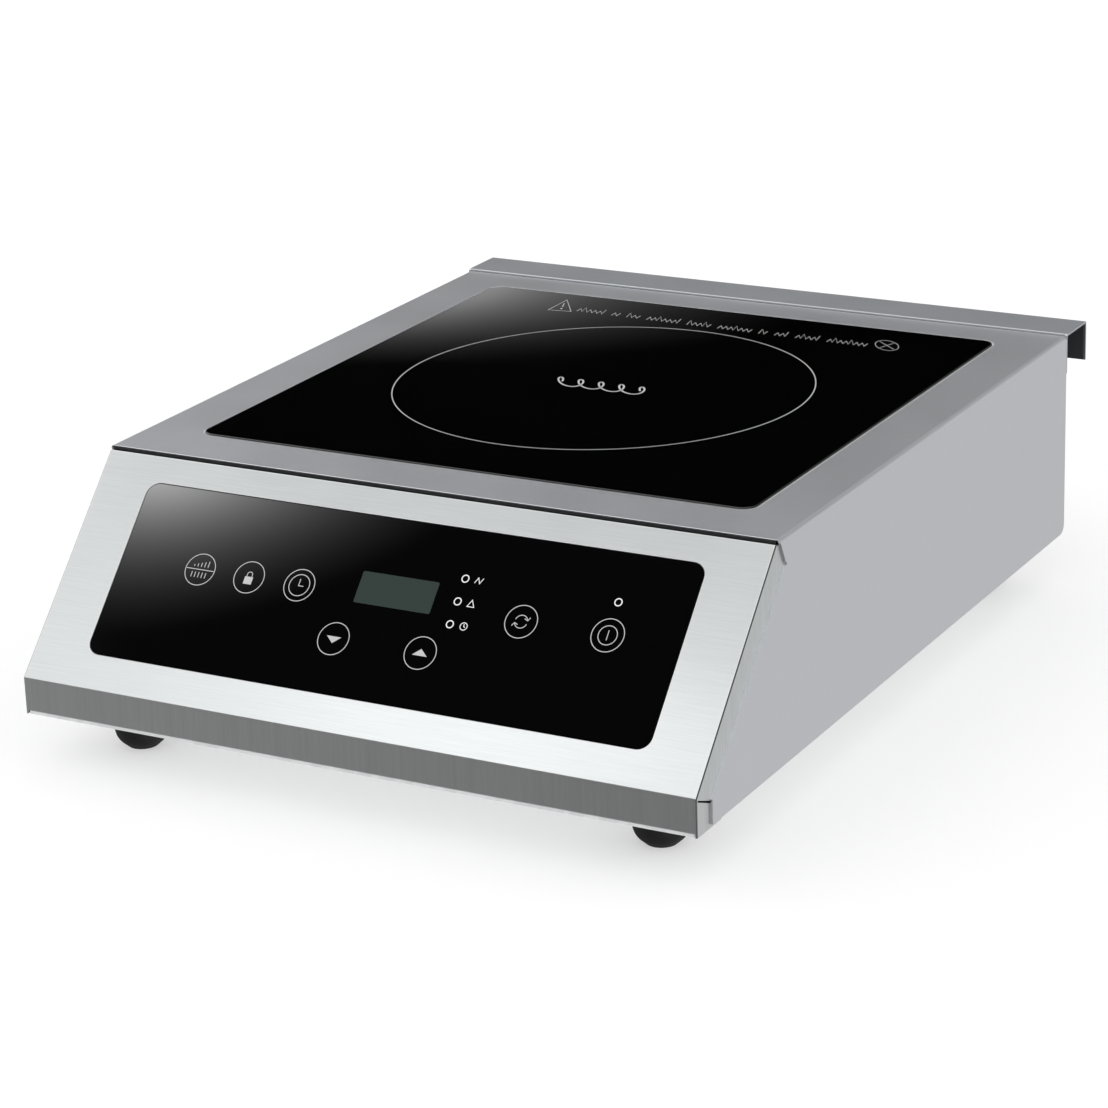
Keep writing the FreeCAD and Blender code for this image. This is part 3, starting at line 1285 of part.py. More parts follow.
def build_terminals():
    """The block that the mains lead is wired to and the stud for its earth."""
    across = f"({INNER_HALF} - return_width - terminal_space - terminal_width / 2)"
    along = f"({FAN_Y} + terminal_shift)"
    top = f"({FLOOR} + terminal_height)"
    made = body("terminal_block")
    block = rectangle(across, along, "terminal_width", "terminal_length")
    pad(made, "block", "XY_Plane", [block], (FLOOR, top))
    bays = [
        rectangle(f"{across} + {step} * terminal_pitch", along, "bay_width", "2 * terminal_length")
        for step in (-1, 0, 1)
    ]
    pocket(made, "bays", "XY_Plane", bays, (f"{top} - bay_depth", f"{top} + gauge"))

    made = body("earth_stud")
    place = (across, f"({FAN_Y} - earth_stud_shift)")
    stud = circles([place], "foot_bolt")
    pad(made, "stud", "XY_Plane", stud, (FLOOR, f"{FLOOR} + earth_stud_height"))
    nut = hexagon(*place, "foot_nut")
    pad(made, "nut", "XY_Plane", [nut], (FLOOR, f"{FLOOR} + foot_nut_height"))


# ------------------------------------------------------------------------------------------- the hob


def check():
    """Stops if anything failed to build, if a pocket cut nothing or if a sub-part has no valid shape."""
    for made in DOC.Objects:
        if {"Invalid", "Error"} & set(made.State):
            raise RuntimeError(f"{made.Name} failed to build: {made.State}")
    least_cut = 1e-3
    for made in DOC.Objects:
        if made.TypeId == "PartDesign::Pocket":
            if made.Shape.Volume > made.BaseFeature.Shape.Volume - least_cut:
                raise RuntimeError(f"{made.Name} cuts nothing")
    for made in PARTS:
        if made.Shape.isNull() or not made.Shape.isValid() or not made.Shape.Solids:
            raise RuntimeError(f"{made.Label} has no valid shape")


def main():
    """Builds every sub-part and writes each one to its own file."""
    build_top_cover()
    build_front_panel()
    build_rear_panel()
    build_rear_spacer()
    build_base_plate()
    build_feet()
    build_fasteners()
    build_cooking_plate()
    build_touch_panel()
    build_coil()
    build_power_board()
    build_heat_sink()
    build_capacitors()
    build_fans()
    build_gland()
    build_terminals()
    DOC.recompute()
    check()
    os.makedirs("parts", exist_ok=True)
    for made in PARTS:
        made.Shape.exportStep(f"parts/{made.Label}.step")
        box = made.Shape.BoundBox
        low = [round(value, 2) for value in (box.XMin, box.YMin, box.ZMin)]
        high = [round(value, 2) for value in (box.XMax, box.YMax, box.ZMax)]
        print(made.Label, len(made.Shape.Solids), low, high)


main()
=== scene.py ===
"""Looks of a countertop induction hob: brushed steel case, black glass plates, print and the parts inside."""

import sys

import logging
from dataclasses import dataclass, field
from enum import Enum
from typing import Any, Sequence

import bmesh
import bpy
import numpy as np
from mathutils import Matrix, Vector


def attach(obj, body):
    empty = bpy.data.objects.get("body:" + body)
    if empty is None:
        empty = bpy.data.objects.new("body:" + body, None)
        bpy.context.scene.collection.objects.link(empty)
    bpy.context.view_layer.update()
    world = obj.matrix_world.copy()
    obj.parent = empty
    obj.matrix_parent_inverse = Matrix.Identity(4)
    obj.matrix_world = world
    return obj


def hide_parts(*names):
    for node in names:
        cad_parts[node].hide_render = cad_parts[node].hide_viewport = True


LOG = logging.getLogger("hob")
Array = np.ndarray
MM = 0.001
UPWARD = np.array([0.0, 0.0, 1.0])

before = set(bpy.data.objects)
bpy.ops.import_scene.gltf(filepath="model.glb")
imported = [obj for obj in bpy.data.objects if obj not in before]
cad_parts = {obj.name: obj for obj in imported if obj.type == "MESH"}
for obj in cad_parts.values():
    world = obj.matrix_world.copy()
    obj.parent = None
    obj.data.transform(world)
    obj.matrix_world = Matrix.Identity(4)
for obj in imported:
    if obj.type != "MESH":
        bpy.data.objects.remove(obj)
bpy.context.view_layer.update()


# -------------------------------------------------------------------------------- nodes and finishes


def linear(code: str) -> tuple[float, float, float, float]:
    """Turns an sRGB colour into the linear one that the shaders take.

    Args:
        code: Six hex digits after a number sign.

    Returns:
        Red, green, blue and an alpha of 1. Each channel is c / 12.92 near black, and above it
        ((c + 0.055) / 1.055) ** 2.4.
    """
    channels = [int(code[place : place + 2], 16) / 255 for place in (1, 3, 5)]
    red, green, blue = (c / 12.92 if c <= 0.04045 else ((c + 0.055) / 1.055) ** 2.4 for c in channels)
    return red, green, blue, 1.0


def add_node(tree: bpy.types.NodeTree, kind: str, settings: dict[str, Any], links: dict[Any, Any]) -> Any:
    """Adds one node with its settings and links.

    Args:
        tree: The node tree that gets the node.
        kind: The node's type name.
        settings: Properties by name, and values of inputs by their index or name.
        links: The output socket that feeds each input, by the input's index or name.

    Returns:
        The new node.
    """
    node = tree.nodes.new(kind)
    for name, value in settings.items():
        if isinstance(name, str) and hasattr(node, name):
            setattr(node, name, value)
        else:
            node.inputs[name].default_value = value
    for name, socket in links.items():
        tree.links.new(socket, node.inputs[name])
    return node


@dataclass(frozen=True)
class Surface:
    """One material's nodes, while it is built.

    Attributes:
        tree: The node tree.
        shader: The surface shader.
        place: The socket that gives object coordinates.
        usual: The range that most of a noise lies in.
    """

    tree: bpy.types.NodeTree
    shader: Any
    place: Any
    usual: tuple[float, float] = (0.3, 0.7)

    def add(self, kind: str, settings: dict[str, Any], links: dict[Any, Any]) -> Any:
        """Adds one node with its settings and links."""
        return add_node(self.tree, kind, settings, links)

    def feed(self, name: str, socket: Any) -> None:
        """Links a socket to one of the shader's inputs."""
        self.tree.links.new(socket, self.shader.inputs[name])

    def part_of(self, vector: Any, part: str) -> Any:
        """The socket that gives a vector's X, Y or Z."""
        return self.add("ShaderNodeSeparateXYZ", {}, {"Vector": vector}).outputs[part]

    def facing(self, part: str) -> Any:
        """The socket that gives the X, Y or Z of the direction that the surface faces."""
        return self.part_of(self.add("ShaderNodeNewGeometry", {}, {}).outputs["Normal"], part)

    def size_of(self, value: Any) -> Any:
        """The socket that gives a value without its sign."""
        return self.add("ShaderNodeMath", {"operation": "ABSOLUTE"}, {0: value}).outputs[0]

    def noise(self, size: tuple[float, float, float], detail: float) -> Any:
        """Adds noise whose blotches have a given size.

        Args:
            size: The blotches' length along X, Y and Z in mm.
            detail: How many finer layers the noise has.

        Returns:
            The socket that gives the noise, from 0 to 1.
        """
        scale = tuple(1 / (length * MM) for length in size)
        laid = self.add("ShaderNodeMapping", {"Scale": scale}, {"Vector": self.place}).outputs["Vector"]
        settings = {"Scale": 1.0, "Detail": detail, "Roughness": 0.6}
        return self.add("ShaderNodeTexNoise", settings, {"Vector": laid}).outputs["Fac"]

    def carry(self, value: Any, span: tuple[float, float], ends: tuple[float, float] = (0.0, 1.0)) -> Any:
        """Carries a value from one range to another, and holds it at the range's ends.

        Args:
            value: The value's socket.
            span: The range that it comes from.
            ends: What the range's two ends become.

        Returns:
            The new value's socket.
        """
        settings = {"From Min": span[0], "From Max": span[1], "To Min": ends[0], "To Max": ends[1]}
        return self.add("ShaderNodeMapRange", settings, {"Value": value}).outputs["Result"]

    def vary_colour(self, amount: Any, colour: str, depth: float) -> Any:
        """Darkens and lightens the surface's colour by a pattern.

        Args:
            amount: The socket that gives the pattern, from 0 to 1.
            colour: The middle colour in sRGB.
            depth: How far the colour goes either way, as a share of itself.

        Returns:
            The colour's socket.
        """
        shades = ([channel * (1 + way * depth) for channel in linear(colour)[:3]] + [1.0] for way in (-1, 1))
        ramp = self.add("ShaderNodeValToRGB", {}, {"Fac": amount})
        for stop, position, shade in zip(ramp.color_ramp.elements, self.usual, shades):
            stop.position, stop.color = position, shade
        self.feed("Base Color", ramp.outputs["Color"])
        return ramp.outputs["Color"]

    def vary_roughness(self, amount: Any, roughness: float, depth: float) -> None:
        """Roughens and smooths the surface by a pattern, by up to a depth either way."""
        self.feed("Roughness", self.carry(amount, self.usual, (roughness - depth, roughness + depth)))

    def add_relief(self, height: Any, depth: float) -> None:
        """Gives the surface a relief from a pattern, with a depth in mm."""
        bump = self.add("ShaderNodeBump", {"Distance": depth * MM, "Strength": 1.0}, {"Height": height})
        self.feed("Normal", bump.outputs["Normal"])


@dataclass(frozen=True)
class Finish:
    """What a real material looks like. Each kind of finish has its own pattern.

    Attributes:
        title: The real material's name.
        colour: Its colour in sRGB.
        roughness: How much it blurs what it mirrors.
        metallic: 1 for a bare metal, else 0.
    """

    title: str
    colour: str
    roughness: float
    metallic: float = 0.0

    def pattern(self, surface: Surface) -> None:
        """Adds the pattern of this kind of finish."""
        raise NotImplementedError

    def shader_values(self) -> dict[str, Any]:
        """The values that are the same all over the surface."""
        return {"Metallic": self.metallic, "Roughness": self.roughness, "Base Color": linear(self.colour)}

    def material(self) -> bpy.types.Material:
        """Builds the material, once for each title.

        Returns:
            The material, new or built before.
        """
        if self.title in bpy.data.materials:
            return bpy.data.materials[self.title]
        made = bpy.data.materials.new(self.title)
        made.use_nodes = True
        tree = made.node_tree
        tree.nodes.clear()
        shader = add_node(tree, "ShaderNodeBsdfPrincipled", self.shader_values(), {})
        add_node(tree, "ShaderNodeOutputMaterial", {}, {"Surface": shader.outputs["BSDF"]})
        place = add_node(tree, "ShaderNodeTexCoord", {}, {}).outputs["Object"]
        self.pattern(Surface(tree, shader, place))
        return made


class Grain(Enum):
    """The way that a sheet's brushing runs, with how long and how wide a streak is along X, Y and Z in mm."""

    ACROSS = (30.0, 0.55, 0.55)
    UPRIGHT = (1.6, 1.6, 40.0)
    DEEP = (0.55, 30.0, 0.55)


class Folds(Enum):
    """Which folds of a sheet get painted shade, by the part of the surface's direction that tells them."""

    FRONT = "Y"
    SIDE = "X"


@dataclass(frozen=True)
class BrushedSteel(Finish):
    """Belt-brushed stainless sheet. The eye gets fine streaks and a highlight drawn out across them.

    Attributes:
        metallic: 1, as it is a bare metal.
        grain: The way that the brushing runs.
        across: The direction in which the highlight is drawn out.
        spread: How far it is drawn out, from 0 to 1.
        streaking: How far the streaks go either way from the middle colour.
        fold_shade: The share of its colour that a fold keeps: painted shade, dark like the shadowed joints at
            the folds.
        folds: Which folds get the painted shade.
        fold_reach: How far across the front folds' painted shade reaches in mm, short of the side walls' cut
            edges.
        cloud: The size in mm of the faint clouds that any rolled sheet has.
    """

    metallic: float = 1.0
    grain: Grain = Grain.ACROSS
    across: tuple[float, float, float] = (0.0, 0.7, 0.7)
    spread: float = 0.3
    streaking: float = 0.05
    fold_shade: float = 1.0
    folds: Folds = Folds.FRONT
    fold_reach: float = 168.9
    cloud: float = 45.0

    def shader_values(self) -> dict[str, Any]:
        """The values that are the same all over the sheet."""
        return super().shader_values() | {"Anisotropic": self.spread}

    def streaks(self, surface: Surface) -> Any:
        """The socket that gives the brushing, coarser than real scratches of 0.05 mm, so that it shows."""
        return surface.noise(self.grain.value, 3.0)

    def painted_fold_shade(self, surface: Surface) -> Any:
        """Tells the folds by the way that they face: forwards for the front kind, half sideways for the other.

        Args:
            surface: The material.

        Returns:
            The socket that gives the share of colour left by the painted shade: 1 on the flat faces and on the
            side walls' cut edges.
        """
        turned_to = surface.facing(self.folds.value)
        if self.folds is Folds.FRONT:
            near = surface.carry(turned_to, (-0.7, -0.3), (self.fold_shade, 1.0))
            settings = {"operation": "GREATER_THAN", 1: self.fold_reach * MM}
            out = surface.size_of(surface.part_of(surface.place, "X"))
            far = surface.add("ShaderNodeMath", settings, {0: out}).outputs[0]
        else:
            sideways = surface.size_of(turned_to)
            near = surface.carry(sideways, (0.2, 0.5), (1.0, self.fold_shade))
            far = surface.carry(sideways, (0.85, 0.98), (self.fold_shade, 1.0))
        return surface.add("ShaderNodeMath", {"operation": "MAXIMUM"}, {0: near, 1: far}).outputs[0]

    def pattern(self, surface: Surface) -> None:
        """Adds the brushing to the colour and relief, paints shade on the folds by darkening their colour, and
        clouds the gloss.

        Args:
            surface: The material.
        """
        brushing = self.streaks(surface)
        brushed = surface.vary_colour(brushing, self.colour, self.streaking)
        # Painted shade: the folds' colour is scaled down so that they look like the shadow in the joints.
        if self.fold_shade < 1:
            links = {0: brushed, "Scale": self.painted_fold_shade(surface)}
            shaded = surface.add("ShaderNodeVectorMath", {"operation": "SCALE"}, links)
            surface.feed("Base Color", shaded.outputs["Vector"])
        surface.vary_roughness(surface.noise((self.cloud,) * 3, 2.0), self.roughness, 0.008)
        surface.add_relief(brushing, 0.004)
        tangent = surface.add("ShaderNodeCombineXYZ", dict(zip("XYZ", self.across)), {})
        surface.feed("Tangent", tangent.outputs["Vector"])


@dataclass(frozen=True)
class FrontSheet(BrushedSteel):
    """The front's sheet: brushed level on the slope, and upright on the lip, which was finished by hand.

    Attributes:
        upturn: How far up the lip and the slope face, from 0 to 1.
    """

    upturn: tuple[float, float] = (0.15, 0.5)

    def streaks(self, surface: Surface) -> Any:
        """Adds level streaks where the sheet slopes and upright ones where it stands.

        Args:
            surface: The material.

        Returns:
            The socket that gives the streaks.
        """
        level = super().streaks(surface)
        upright = surface.noise(Grain.UPRIGHT.value, 2.0)
        links = {"Factor": surface.carry(surface.facing("Z"), self.upturn), 2: upright, 3: level}
        return surface.add("ShaderNodeMix", {"data_type": "FLOAT"}, links).outputs[0]


@dataclass(frozen=True)
class Polished(Finish):
    """A glassy surface: black glass or a display's acrylic. The eye gets sharp reflections on near black.

    Attributes:
        waviness: How far the gloss wanders, from roller marks.
    """

    waviness: float = 0.008

    def pattern(self, surface: Surface) -> None:
        """Adds the slow wandering of the gloss."""
        surface.vary_roughness(surface.noise((60.0, 30.0, 30.0), 1.0), self.roughness, self.waviness)


@dataclass(frozen=True)
class Grained(Finish):
    """A moulded, cast or plated surface with a fine grain.

    Attributes:
        grit: The grain's size in mm.
        depth: The grain's depth in mm.
        mottle: How far the colour wanders either way.
        cloud: The size of the colour's and the gloss's clouds in mm.
    """

    grit: float = 0.4
    depth: float = 0.02
    mottle: float = 0.05
    cloud: float = 15.0

    def pattern(self, surface: Surface) -> None:
        """Adds the grain's relief, with broader clouds of colour and gloss.

        Args:
            surface: The material.
        """
        clouds = surface.noise((self.cloud,) * 3, 3.0)
        surface.vary_colour(clouds, self.colour, self.mottle)
        surface.vary_roughness(clouds, self.roughness, 0.05)
        surface.add_relief(surface.noise((self.grit,) * 3, 3.0), self.depth)


@dataclass(frozen=True)
class Matt(Finish):
    """Uncoated paper, as on a studio's floor. The eye gets an even pale ground with no gloss at all.

    Attributes:
        glow: The light that it gives of its own, like a light table.
    """

    glow: float = 0.46

    def pattern(self, surface: Surface) -> None:
        """Adds fibres too small for the eye to make out, as a faint relief."""
        surface.add_relief(surface.noise((0.4, 0.4, 0.4), 1.0), 0.002)

    def shader_values(self) -> dict[str, Any]:
        """The values that are the same all over: no gloss, and lit a little from below."""
        glow = {"Emission Color": (1.0, 1.0, 1.0, 1.0), "Emission Strength": self.glow}
        return super().shader_values() | {"Specular IOR Level": 0.0} | glow


@dataclass(frozen=True)
class Flaked(Finish):
    """A surface of small flat cells: the spangle of zinc plate, or the flakes of pressed mica.

    Attributes:
        flake: The cells' size in mm.
        contrast: How far one cell differs from the next.
    """

    flake: float = 4.0
    contrast: float = 0.06

    def pattern(self, surface: Surface) -> None:
        """Gives each cell its own shade and gloss.

        Args:
            surface: The material.
        """
        scale = 1 / (self.flake * MM)
        cells = surface.add("ShaderNodeTexVoronoi", {"Scale": scale}, {"Vector": surface.place})
        shade = surface.add("ShaderNodeSeparateColor", {}, {"Color": cells.outputs["Color"]}).outputs["Red"]
        surface.vary_colour(shade, self.colour, self.contrast)
        surface.vary_roughness(shade, self.roughness, 0.08)


@dataclass(frozen=True)
class Tracked(Finish):
    """A circuit board under solder mask. The eye gets glossy green with lighter lines where copper runs below.

    Attributes:
        track: The tracks' spacing in mm.
        copper: The thickness of the copper below the mask in mm.
    """

    track: float = 5.0
    copper: float = 0.035

    def pattern(self, surface: Surface) -> None:
        """Adds the tracks as the square-cornered edges of cells.

        Args:
            surface: The material.
        """
        settings = {"distance": "CHEBYCHEV", "feature": "F2", "Scale": 1 / (self.track * MM)}
        cells = surface.add("ShaderNodeTexVoronoi", settings, {"Vector": surface.place})
        edge = surface.carry(cells.outputs["Distance"], (0.62, 0.7))
        surface.vary_colour(edge, self.colour, 0.35)
        surface.add_relief(edge, self.copper)


@dataclass(frozen=True)
class Stranded(Finish):
    """Enamelled copper wire, twisted from fine strands. The eye gets slanting stripes round each turn.

    Attributes:
        metallic: 1, as the enamel is thin and clear.
        lay: The length in mm in which the strands go once round.
        strands: How many strands show round the wire.
        one_band: The wave's scale at which a band is as long as one unit of the map.
    """

    metallic: float = 1.0
    lay: float = 22.0
    strands: int = 8
    one_band: float = 0.314

    def pattern(self, surface: Surface) -> None:
        """Adds the strands, which follow the wire's own map: its length in mm and the share of the way round.

        Args:
            surface: The material.
        """
        own = surface.add("ShaderNodeUVMap", {}, {}).outputs["UV"]
        scale = (self.strands / self.lay, float(self.strands), 1.0)
        laid = surface.add("ShaderNodeMapping", {"Scale": scale}, {"Vector": own}).outputs["Vector"]
        settings = {"wave_type": "BANDS", "bands_direction": "DIAGONAL", "Scale": self.one_band}
        strand = surface.add("ShaderNodeTexWave", settings, {"Vector": laid}).outputs["Fac"]
        surface.vary_colour(strand, self.colour, 0.3)
        surface.add_relief(strand, 0.12)


# The studio's floor: an even pale ground.
FLOOR_PAPER = Matt("matt pale floor paper", "#C6C6C6", 1.0)
# Stainless 1.4301 sheet, belt brushed: pale, faintly cool greys with fine streaks and a soft highlight.
# The values that darken folds below are painted shade: the deck's front flange, the front's rounded side folds
# and the channel's forward faces.
DECK_STEEL = BrushedSteel(
    "brushed stainless deck", "#DADCE0", 0.34, across=(0.0, 1.0, 0.0), streaking=0.018, fold_shade=0.1
)
FRONT_STEEL = FrontSheet(
    "brushed stainless front", "#D2D5D5", 0.33, spread=0.45, streaking=0.042, fold_shade=0.15, folds=Folds.SIDE
)
REAR_STEEL = BrushedSteel("brushed stainless rear", "#CFD0D2", 0.34, spread=0.35, streaking=0.03)
CHANNEL_STEEL = BrushedSteel("brushed stainless channel", "#BEC1C5", 0.38, streaking=0.02, fold_shade=0.5)
# Zinc plating on mild steel: a cool bright grey, with a faint spangle on sheets.
ZINC_PLATE = Flaked("zinc plated steel sheet", "#C4C7CA", 0.32, 1.0, 5.0, 0.06)
FLOOR_SHEET = Flaked("bright zinc plated floor sheet", "#ECEDEE", 0.5, 0.35, 5.0, 0.03)
ZINC_SCREW = Grained("zinc plated steel screw", "#B8BBBF", 0.3, 1.0, 0.5, 0.004, 0.04)
SPRING_WIRE = Grained("zinc plated spring wire", "#A9ACB0", 0.28, 1.0, 0.6, 0.004, 0.05)
# Aluminium: a duller, whiter grey. The extruded 6063 has die lines along its fins.
RIVET_METAL = Grained("aluminium blind rivet", "#C9CACB", 0.36, 1.0, 0.5, 0.006, 0.03)
EXTRUSION = BrushedSteel(
    "extruded aluminium", "#C8C9CB", 0.36, grain=Grain.DEEP, across=(1.0, 0.0, 0.0), streaking=0.06
)
# Brass: a warm yellow glint.
TURNED_BRASS = Grained("turned brass", "#D2AE63", 0.26, 1.0, 0.5, 0.005, 0.05)
# Glass: nearly black through and through, with a fire-polished face that mirrors sharply.
GLASS_CERAMIC = Polished("black glass ceramic", "#030303", 0.03, waviness=0.005)
TOUCH_GLASS = Polished("black touch glass", "#030304", 0.035, waviness=0.005)
SMOKED_WINDOW = Polished("smoked display window", "#38423F", 0.05)
# Ceramic ink, screen printed and fired: pale, slightly glossy, with a faint screen grain.
PRINT_INK = Grained("pale grey ceramic ink", "#C4C4C4", 0.45, 0.0, 0.35, 0.004, 0.04)
LAMP_INK = Grained("white ceramic ink", "#F4F4F4", 0.45, 0.0, 0.35, 0.004, 0.04)
# Silicone and rubber: soft, low gloss.
BLACK_SEAL = Grained("black silicone sealant", "#141415", 0.5, 0.0, 0.8, 0.02, 0.08)
GREY_SEAL = Grained("light grey silicone sealant", "#DCDCDC", 0.5, 0.0, 0.8, 0.02, 0.04)
WHITE_SILICONE = Grained("white silicone rubber", "#E4E2DC", 0.55, 0.0, 0.5, 0.01, 0.03)
FOOT_RUBBER = Grained("black moulded rubber", "#0C0C0D", 0.62, 0.0, 0.5, 0.02, 0.1)
# Moulded and cast plastics: a fine mould grain under a low sheen, glossier on the lens and the cast epoxy.
BLACK_NYLON = Grained("black glass-filled nylon", "#1D1D1E", 0.5, 0.0, 0.4, 0.02, 0.08)
WHITE_NYLON = Grained("white moulded nylon", "#E2E0DA", 0.48, 0.0, 0.4, 0.015, 0.03)
GREY_LENS = Grained("smoked polycarbonate lens", "#59605F", 0.2, 0.0, 0.6, 0.004, 0.03)
CAPACITOR_CASE = Grained("yellow epoxy capacitor case", "#D9B43C", 0.3, 0.0, 0.6, 0.006, 0.05)
# Boards, mica and ferrite: glossy green with paler tracks, flaky buff, and dull sintered black.
SOLDER_MASK = Tracked("green solder mask", "#1F6238", 0.3)
PRESSED_MICA = Flaked("pressed mica sheet", "#B3A284", 0.42, 0.0, 3.0, 0.14)
FERRITE = Grained("sintered ferrite", "#303033", 0.55, 0.0, 0.35, 0.02, 0.08)
# Enamelled copper: an orange gloss, striped where strands are twisted.
LITZ_WIRE = Stranded("enamelled copper litz", "#B0643A", 0.34)
MAGNET_WIRE = Stranded("enamelled copper wire", "#B5602F", 0.28, lay=40.0, strands=3)
WOUND_STATOR = Grained("enamelled copper stator winding", "#A85A30", 0.36, 1.0, 0.7, 0.05, 0.15)


# -------------------------------------------------------------------------------- shapes


@dataclass(frozen=True)
class Place:
    """Where a shape's own millimetres lie in the hob.

    Attributes:
        origin: The shape's zero, in mm.
        across: The direction of its first axis.
        up: The direction of its second axis. The third stands out of these two.
    """

    origin: tuple[float, float, float] = (0.0, 0.0, 0.0)
    across: tuple[float, float, float] = (1.0, 0.0, 0.0)
    up: tuple[float, float, float] = (0.0, 1.0, 0.0)

    def axes(self) -> Array:
        """The three directions, one in each row."""
        return np.array([self.across, self.up, np.cross(self.across, self.up)])

    def put(self, points: Array) -> Array:
        """Takes points from the shape's millimetres to the hob's metres: origin + x across + y up + z out."""
        return (np.asarray(self.origin) + points @ self.axes()) * MM

    def moved(self, x: float, y: float, z: float = 0.0) -> "Place":
        """The same directions with the zero moved by x across, y up and z out, in mm."""
        origin = np.asarray(self.origin) + np.array([x, y, z]) @ self.axes()
        return Place(tuple(origin), self.across, self.up)


@dataclass(frozen=True)
class Shell:
    """A closed surface as a grid of points.

    Attributes:
        points: Rows by columns by three coordinates in metres.
        rows_meet: Whether the last row joins the first. If not, each end row is shrunk to a point.
        columns_meet: Whether the last column joins the first.
        along: The distance of each row along the shape in mm, for the shape's own map.
    """

    points: Array
    rows_meet: bool = False
    columns_meet: bool = True
    along: Array | None = None

    def quads(self) -> tuple[Array, Array]:
        """Joins the grid's points.

        Returns:
            The four corners of each face, and the map's two values at each of those corners.
        """
        rows, columns = self.points.shape[:2]
        row, column = np.meshgrid(
            np.arange(rows - (not self.rows_meet)), np.arange(columns - (not self.columns_meet)), indexing="ij"
        )
        steps = ((0, 0), (0, 1), (1, 1), (1, 0))
        corners = [((row + r) % rows) * columns + (column + c) % columns for r, c in steps]
        length = np.arange(rows) if self.along is None else self.along
        length = np.append(length, 2 * length[-1] - length[-2])
        maps = [np.stack([length[row + r], (column + c) / columns], axis=-1) for r, c in steps]
        return np.stack(corners, axis=-1).reshape(-1, 4), np.stack(maps, axis=-2).reshape(-1, 2)


def make_piece(
    name: str,
    shells: Sequence[Shell],
    finish: Finish,
    body: str = "housing",
    stands_for: Sequence[str] = (),
    sharp: float = 35.0,
) -> bpy.types.Object:
    """Makes one piece of closed shells: seams and poles merged, faces turned outwards, riding on a body.

    Args:
        name: The piece's name.
        shells: Its shells.
        finish: Its finish.
        body: The body that it moves with.
        stands_for: The nodes that it is shown in place of.
        sharp: Edges with more than this angle in degrees stay sharp.

    Returns:
        The new object, which sits at the origin.
    """
    grids = [shell.quads() for shell in shells]
    sizes = [shell.points.shape[0] * shell.points.shape[1] for shell in shells]
    starts = np.concatenate([[0], np.cumsum(sizes)[:-1]])
    points = np.concatenate([shell.points.reshape(-1, 3) for shell in shells])
    faces = np.concatenate([quads + start for (quads, _), start in zip(grids, starts)])
    mesh = bpy.data.meshes.new(name)
    mesh.from_pydata(points.tolist(), [], faces.tolist())
    own_map = mesh.uv_layers.new(name="UVMap")
    own_map.data.foreach_set("uv", np.concatenate([maps for _, maps in grids]).ravel())
    work = bmesh.new()
    work.from_mesh(mesh)
    bmesh.ops.remove_doubles(work, verts=work.verts, dist=1e-7)
    bmesh.ops.recalc_face_normals(work, faces=work.faces)
    work.to_mesh(mesh)
    work.free()
    mesh.shade_smooth()
    mesh.set_sharp_from_angle(angle=np.radians(sharp))
    mesh.materials.append(finish.material())
    piece = bpy.data.objects.new(name, mesh)
    bpy.context.scene.collection.objects.link(piece)
    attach(piece, body)
    if stands_for:
        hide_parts(*stands_for)
    LOG.info("%s: %d faces", name, len(mesh.polygons))
    return piece


def dress(finish: Finish, *nodes: str) -> None:
    """Gives CAD nodes a finish.

    Args:
        finish: The finish.
        nodes: The nodes' names.
    """
    for node in nodes:
        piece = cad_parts[node]
        for held in piece.material_slots:
            held.material = finish.material()
        LOG.info("%s: %s", node, finish.title)


def circle(radius: float, count: int = 64, x: float = 0.0, y: float = 0.0) -> Array:
    """Points round a circle: the centre plus the radius times the cosine and sine of an even turn."""
    turn = np.linspace(0, 2 * np.pi, count, endpoint=False)
    return np.stack([x + radius * np.cos(turn), y + radius * np.sin(turn)], axis=-1)


def arc(radius: float, start: float, end: float, count: int = 24, x: float = 0.0, y: float = 0.0) -> Array:
    """Points along an arc from one angle to another, in degrees."""
    turn = np.radians(np.linspace(start, end, count))
    return np.stack([x + radius * np.cos(turn), y + radius * np.sin(turn)], axis=-1)


def stroke(place: Place, path: Array, width: float, closed: bool = False, height: float = 0.05) -> Shell:
    """A printed line: a flat rectangular section carried along a path, with mitred corners.

    At each point the unit normals a and b of the runs that meet there give the mitre (a + b) / (1 + a . b).

    Args:
        place: Where the path's plane lies.
        path: The line's middle, as points in mm.
        width: The line's width in mm.
        closed: Whether the path ends where it starts.
        height: How far the line stands out of its plane in mm. It goes as far below.

    Returns:
        The line's shell.
    """
    runs = np.roll(path, -1, axis=0) - path
    runs = runs if closed else np.concatenate([runs[:-1], runs[-2:-1]])
    normals = np.stack([-runs[:, 1], runs[:, 0]], axis=-1)
    normals /= np.linalg.norm(normals, axis=1, keepdims=True)
    before = np.roll(normals, 1, axis=0)
    if not closed:
        before[0] = normals[0]
    mitre = (before + normals) / np.maximum(1 + np.sum(before * normals, axis=1, keepdims=True), 0.2)
    sides = [(1, height), (-1, height), (-1, -height), (1, -height)]
    rings = [np.column_stack([path + mitre * side * width / 2, np.full(len(path), z)]) for side, z in sides]
    grid = np.stack(rings, axis=1)
    if not closed:
        ends = grid[[0, -1]].mean(axis=1, keepdims=True).repeat(4, axis=1)
        grid = np.concatenate([ends[:1], grid, ends[1:]])
    return Shell(place.put(grid), rows_meet=closed)


def filled(place: Place, outline: Array, height: float = 0.05) -> Shell:
    """A printed area: its outline above and below the plane, each drawn in to the outline's middle point.

    Args:
        place: Where the outline's plane lies.
        outline: Points round the area in mm.
        height: How far the area stands out of its plane in mm. It goes as far below.

    Returns:
        The area's shell.
    """
    middle = outline.mean(axis=0) + np.zeros_like(outline)
    rings = [(middle, height), (outline, height), (outline, -height), (middle, -height)]
    rows = [np.column_stack([ring, np.full(len(ring), z)]) for ring, z in rings]
    return Shell(place.put(np.stack(rows)))


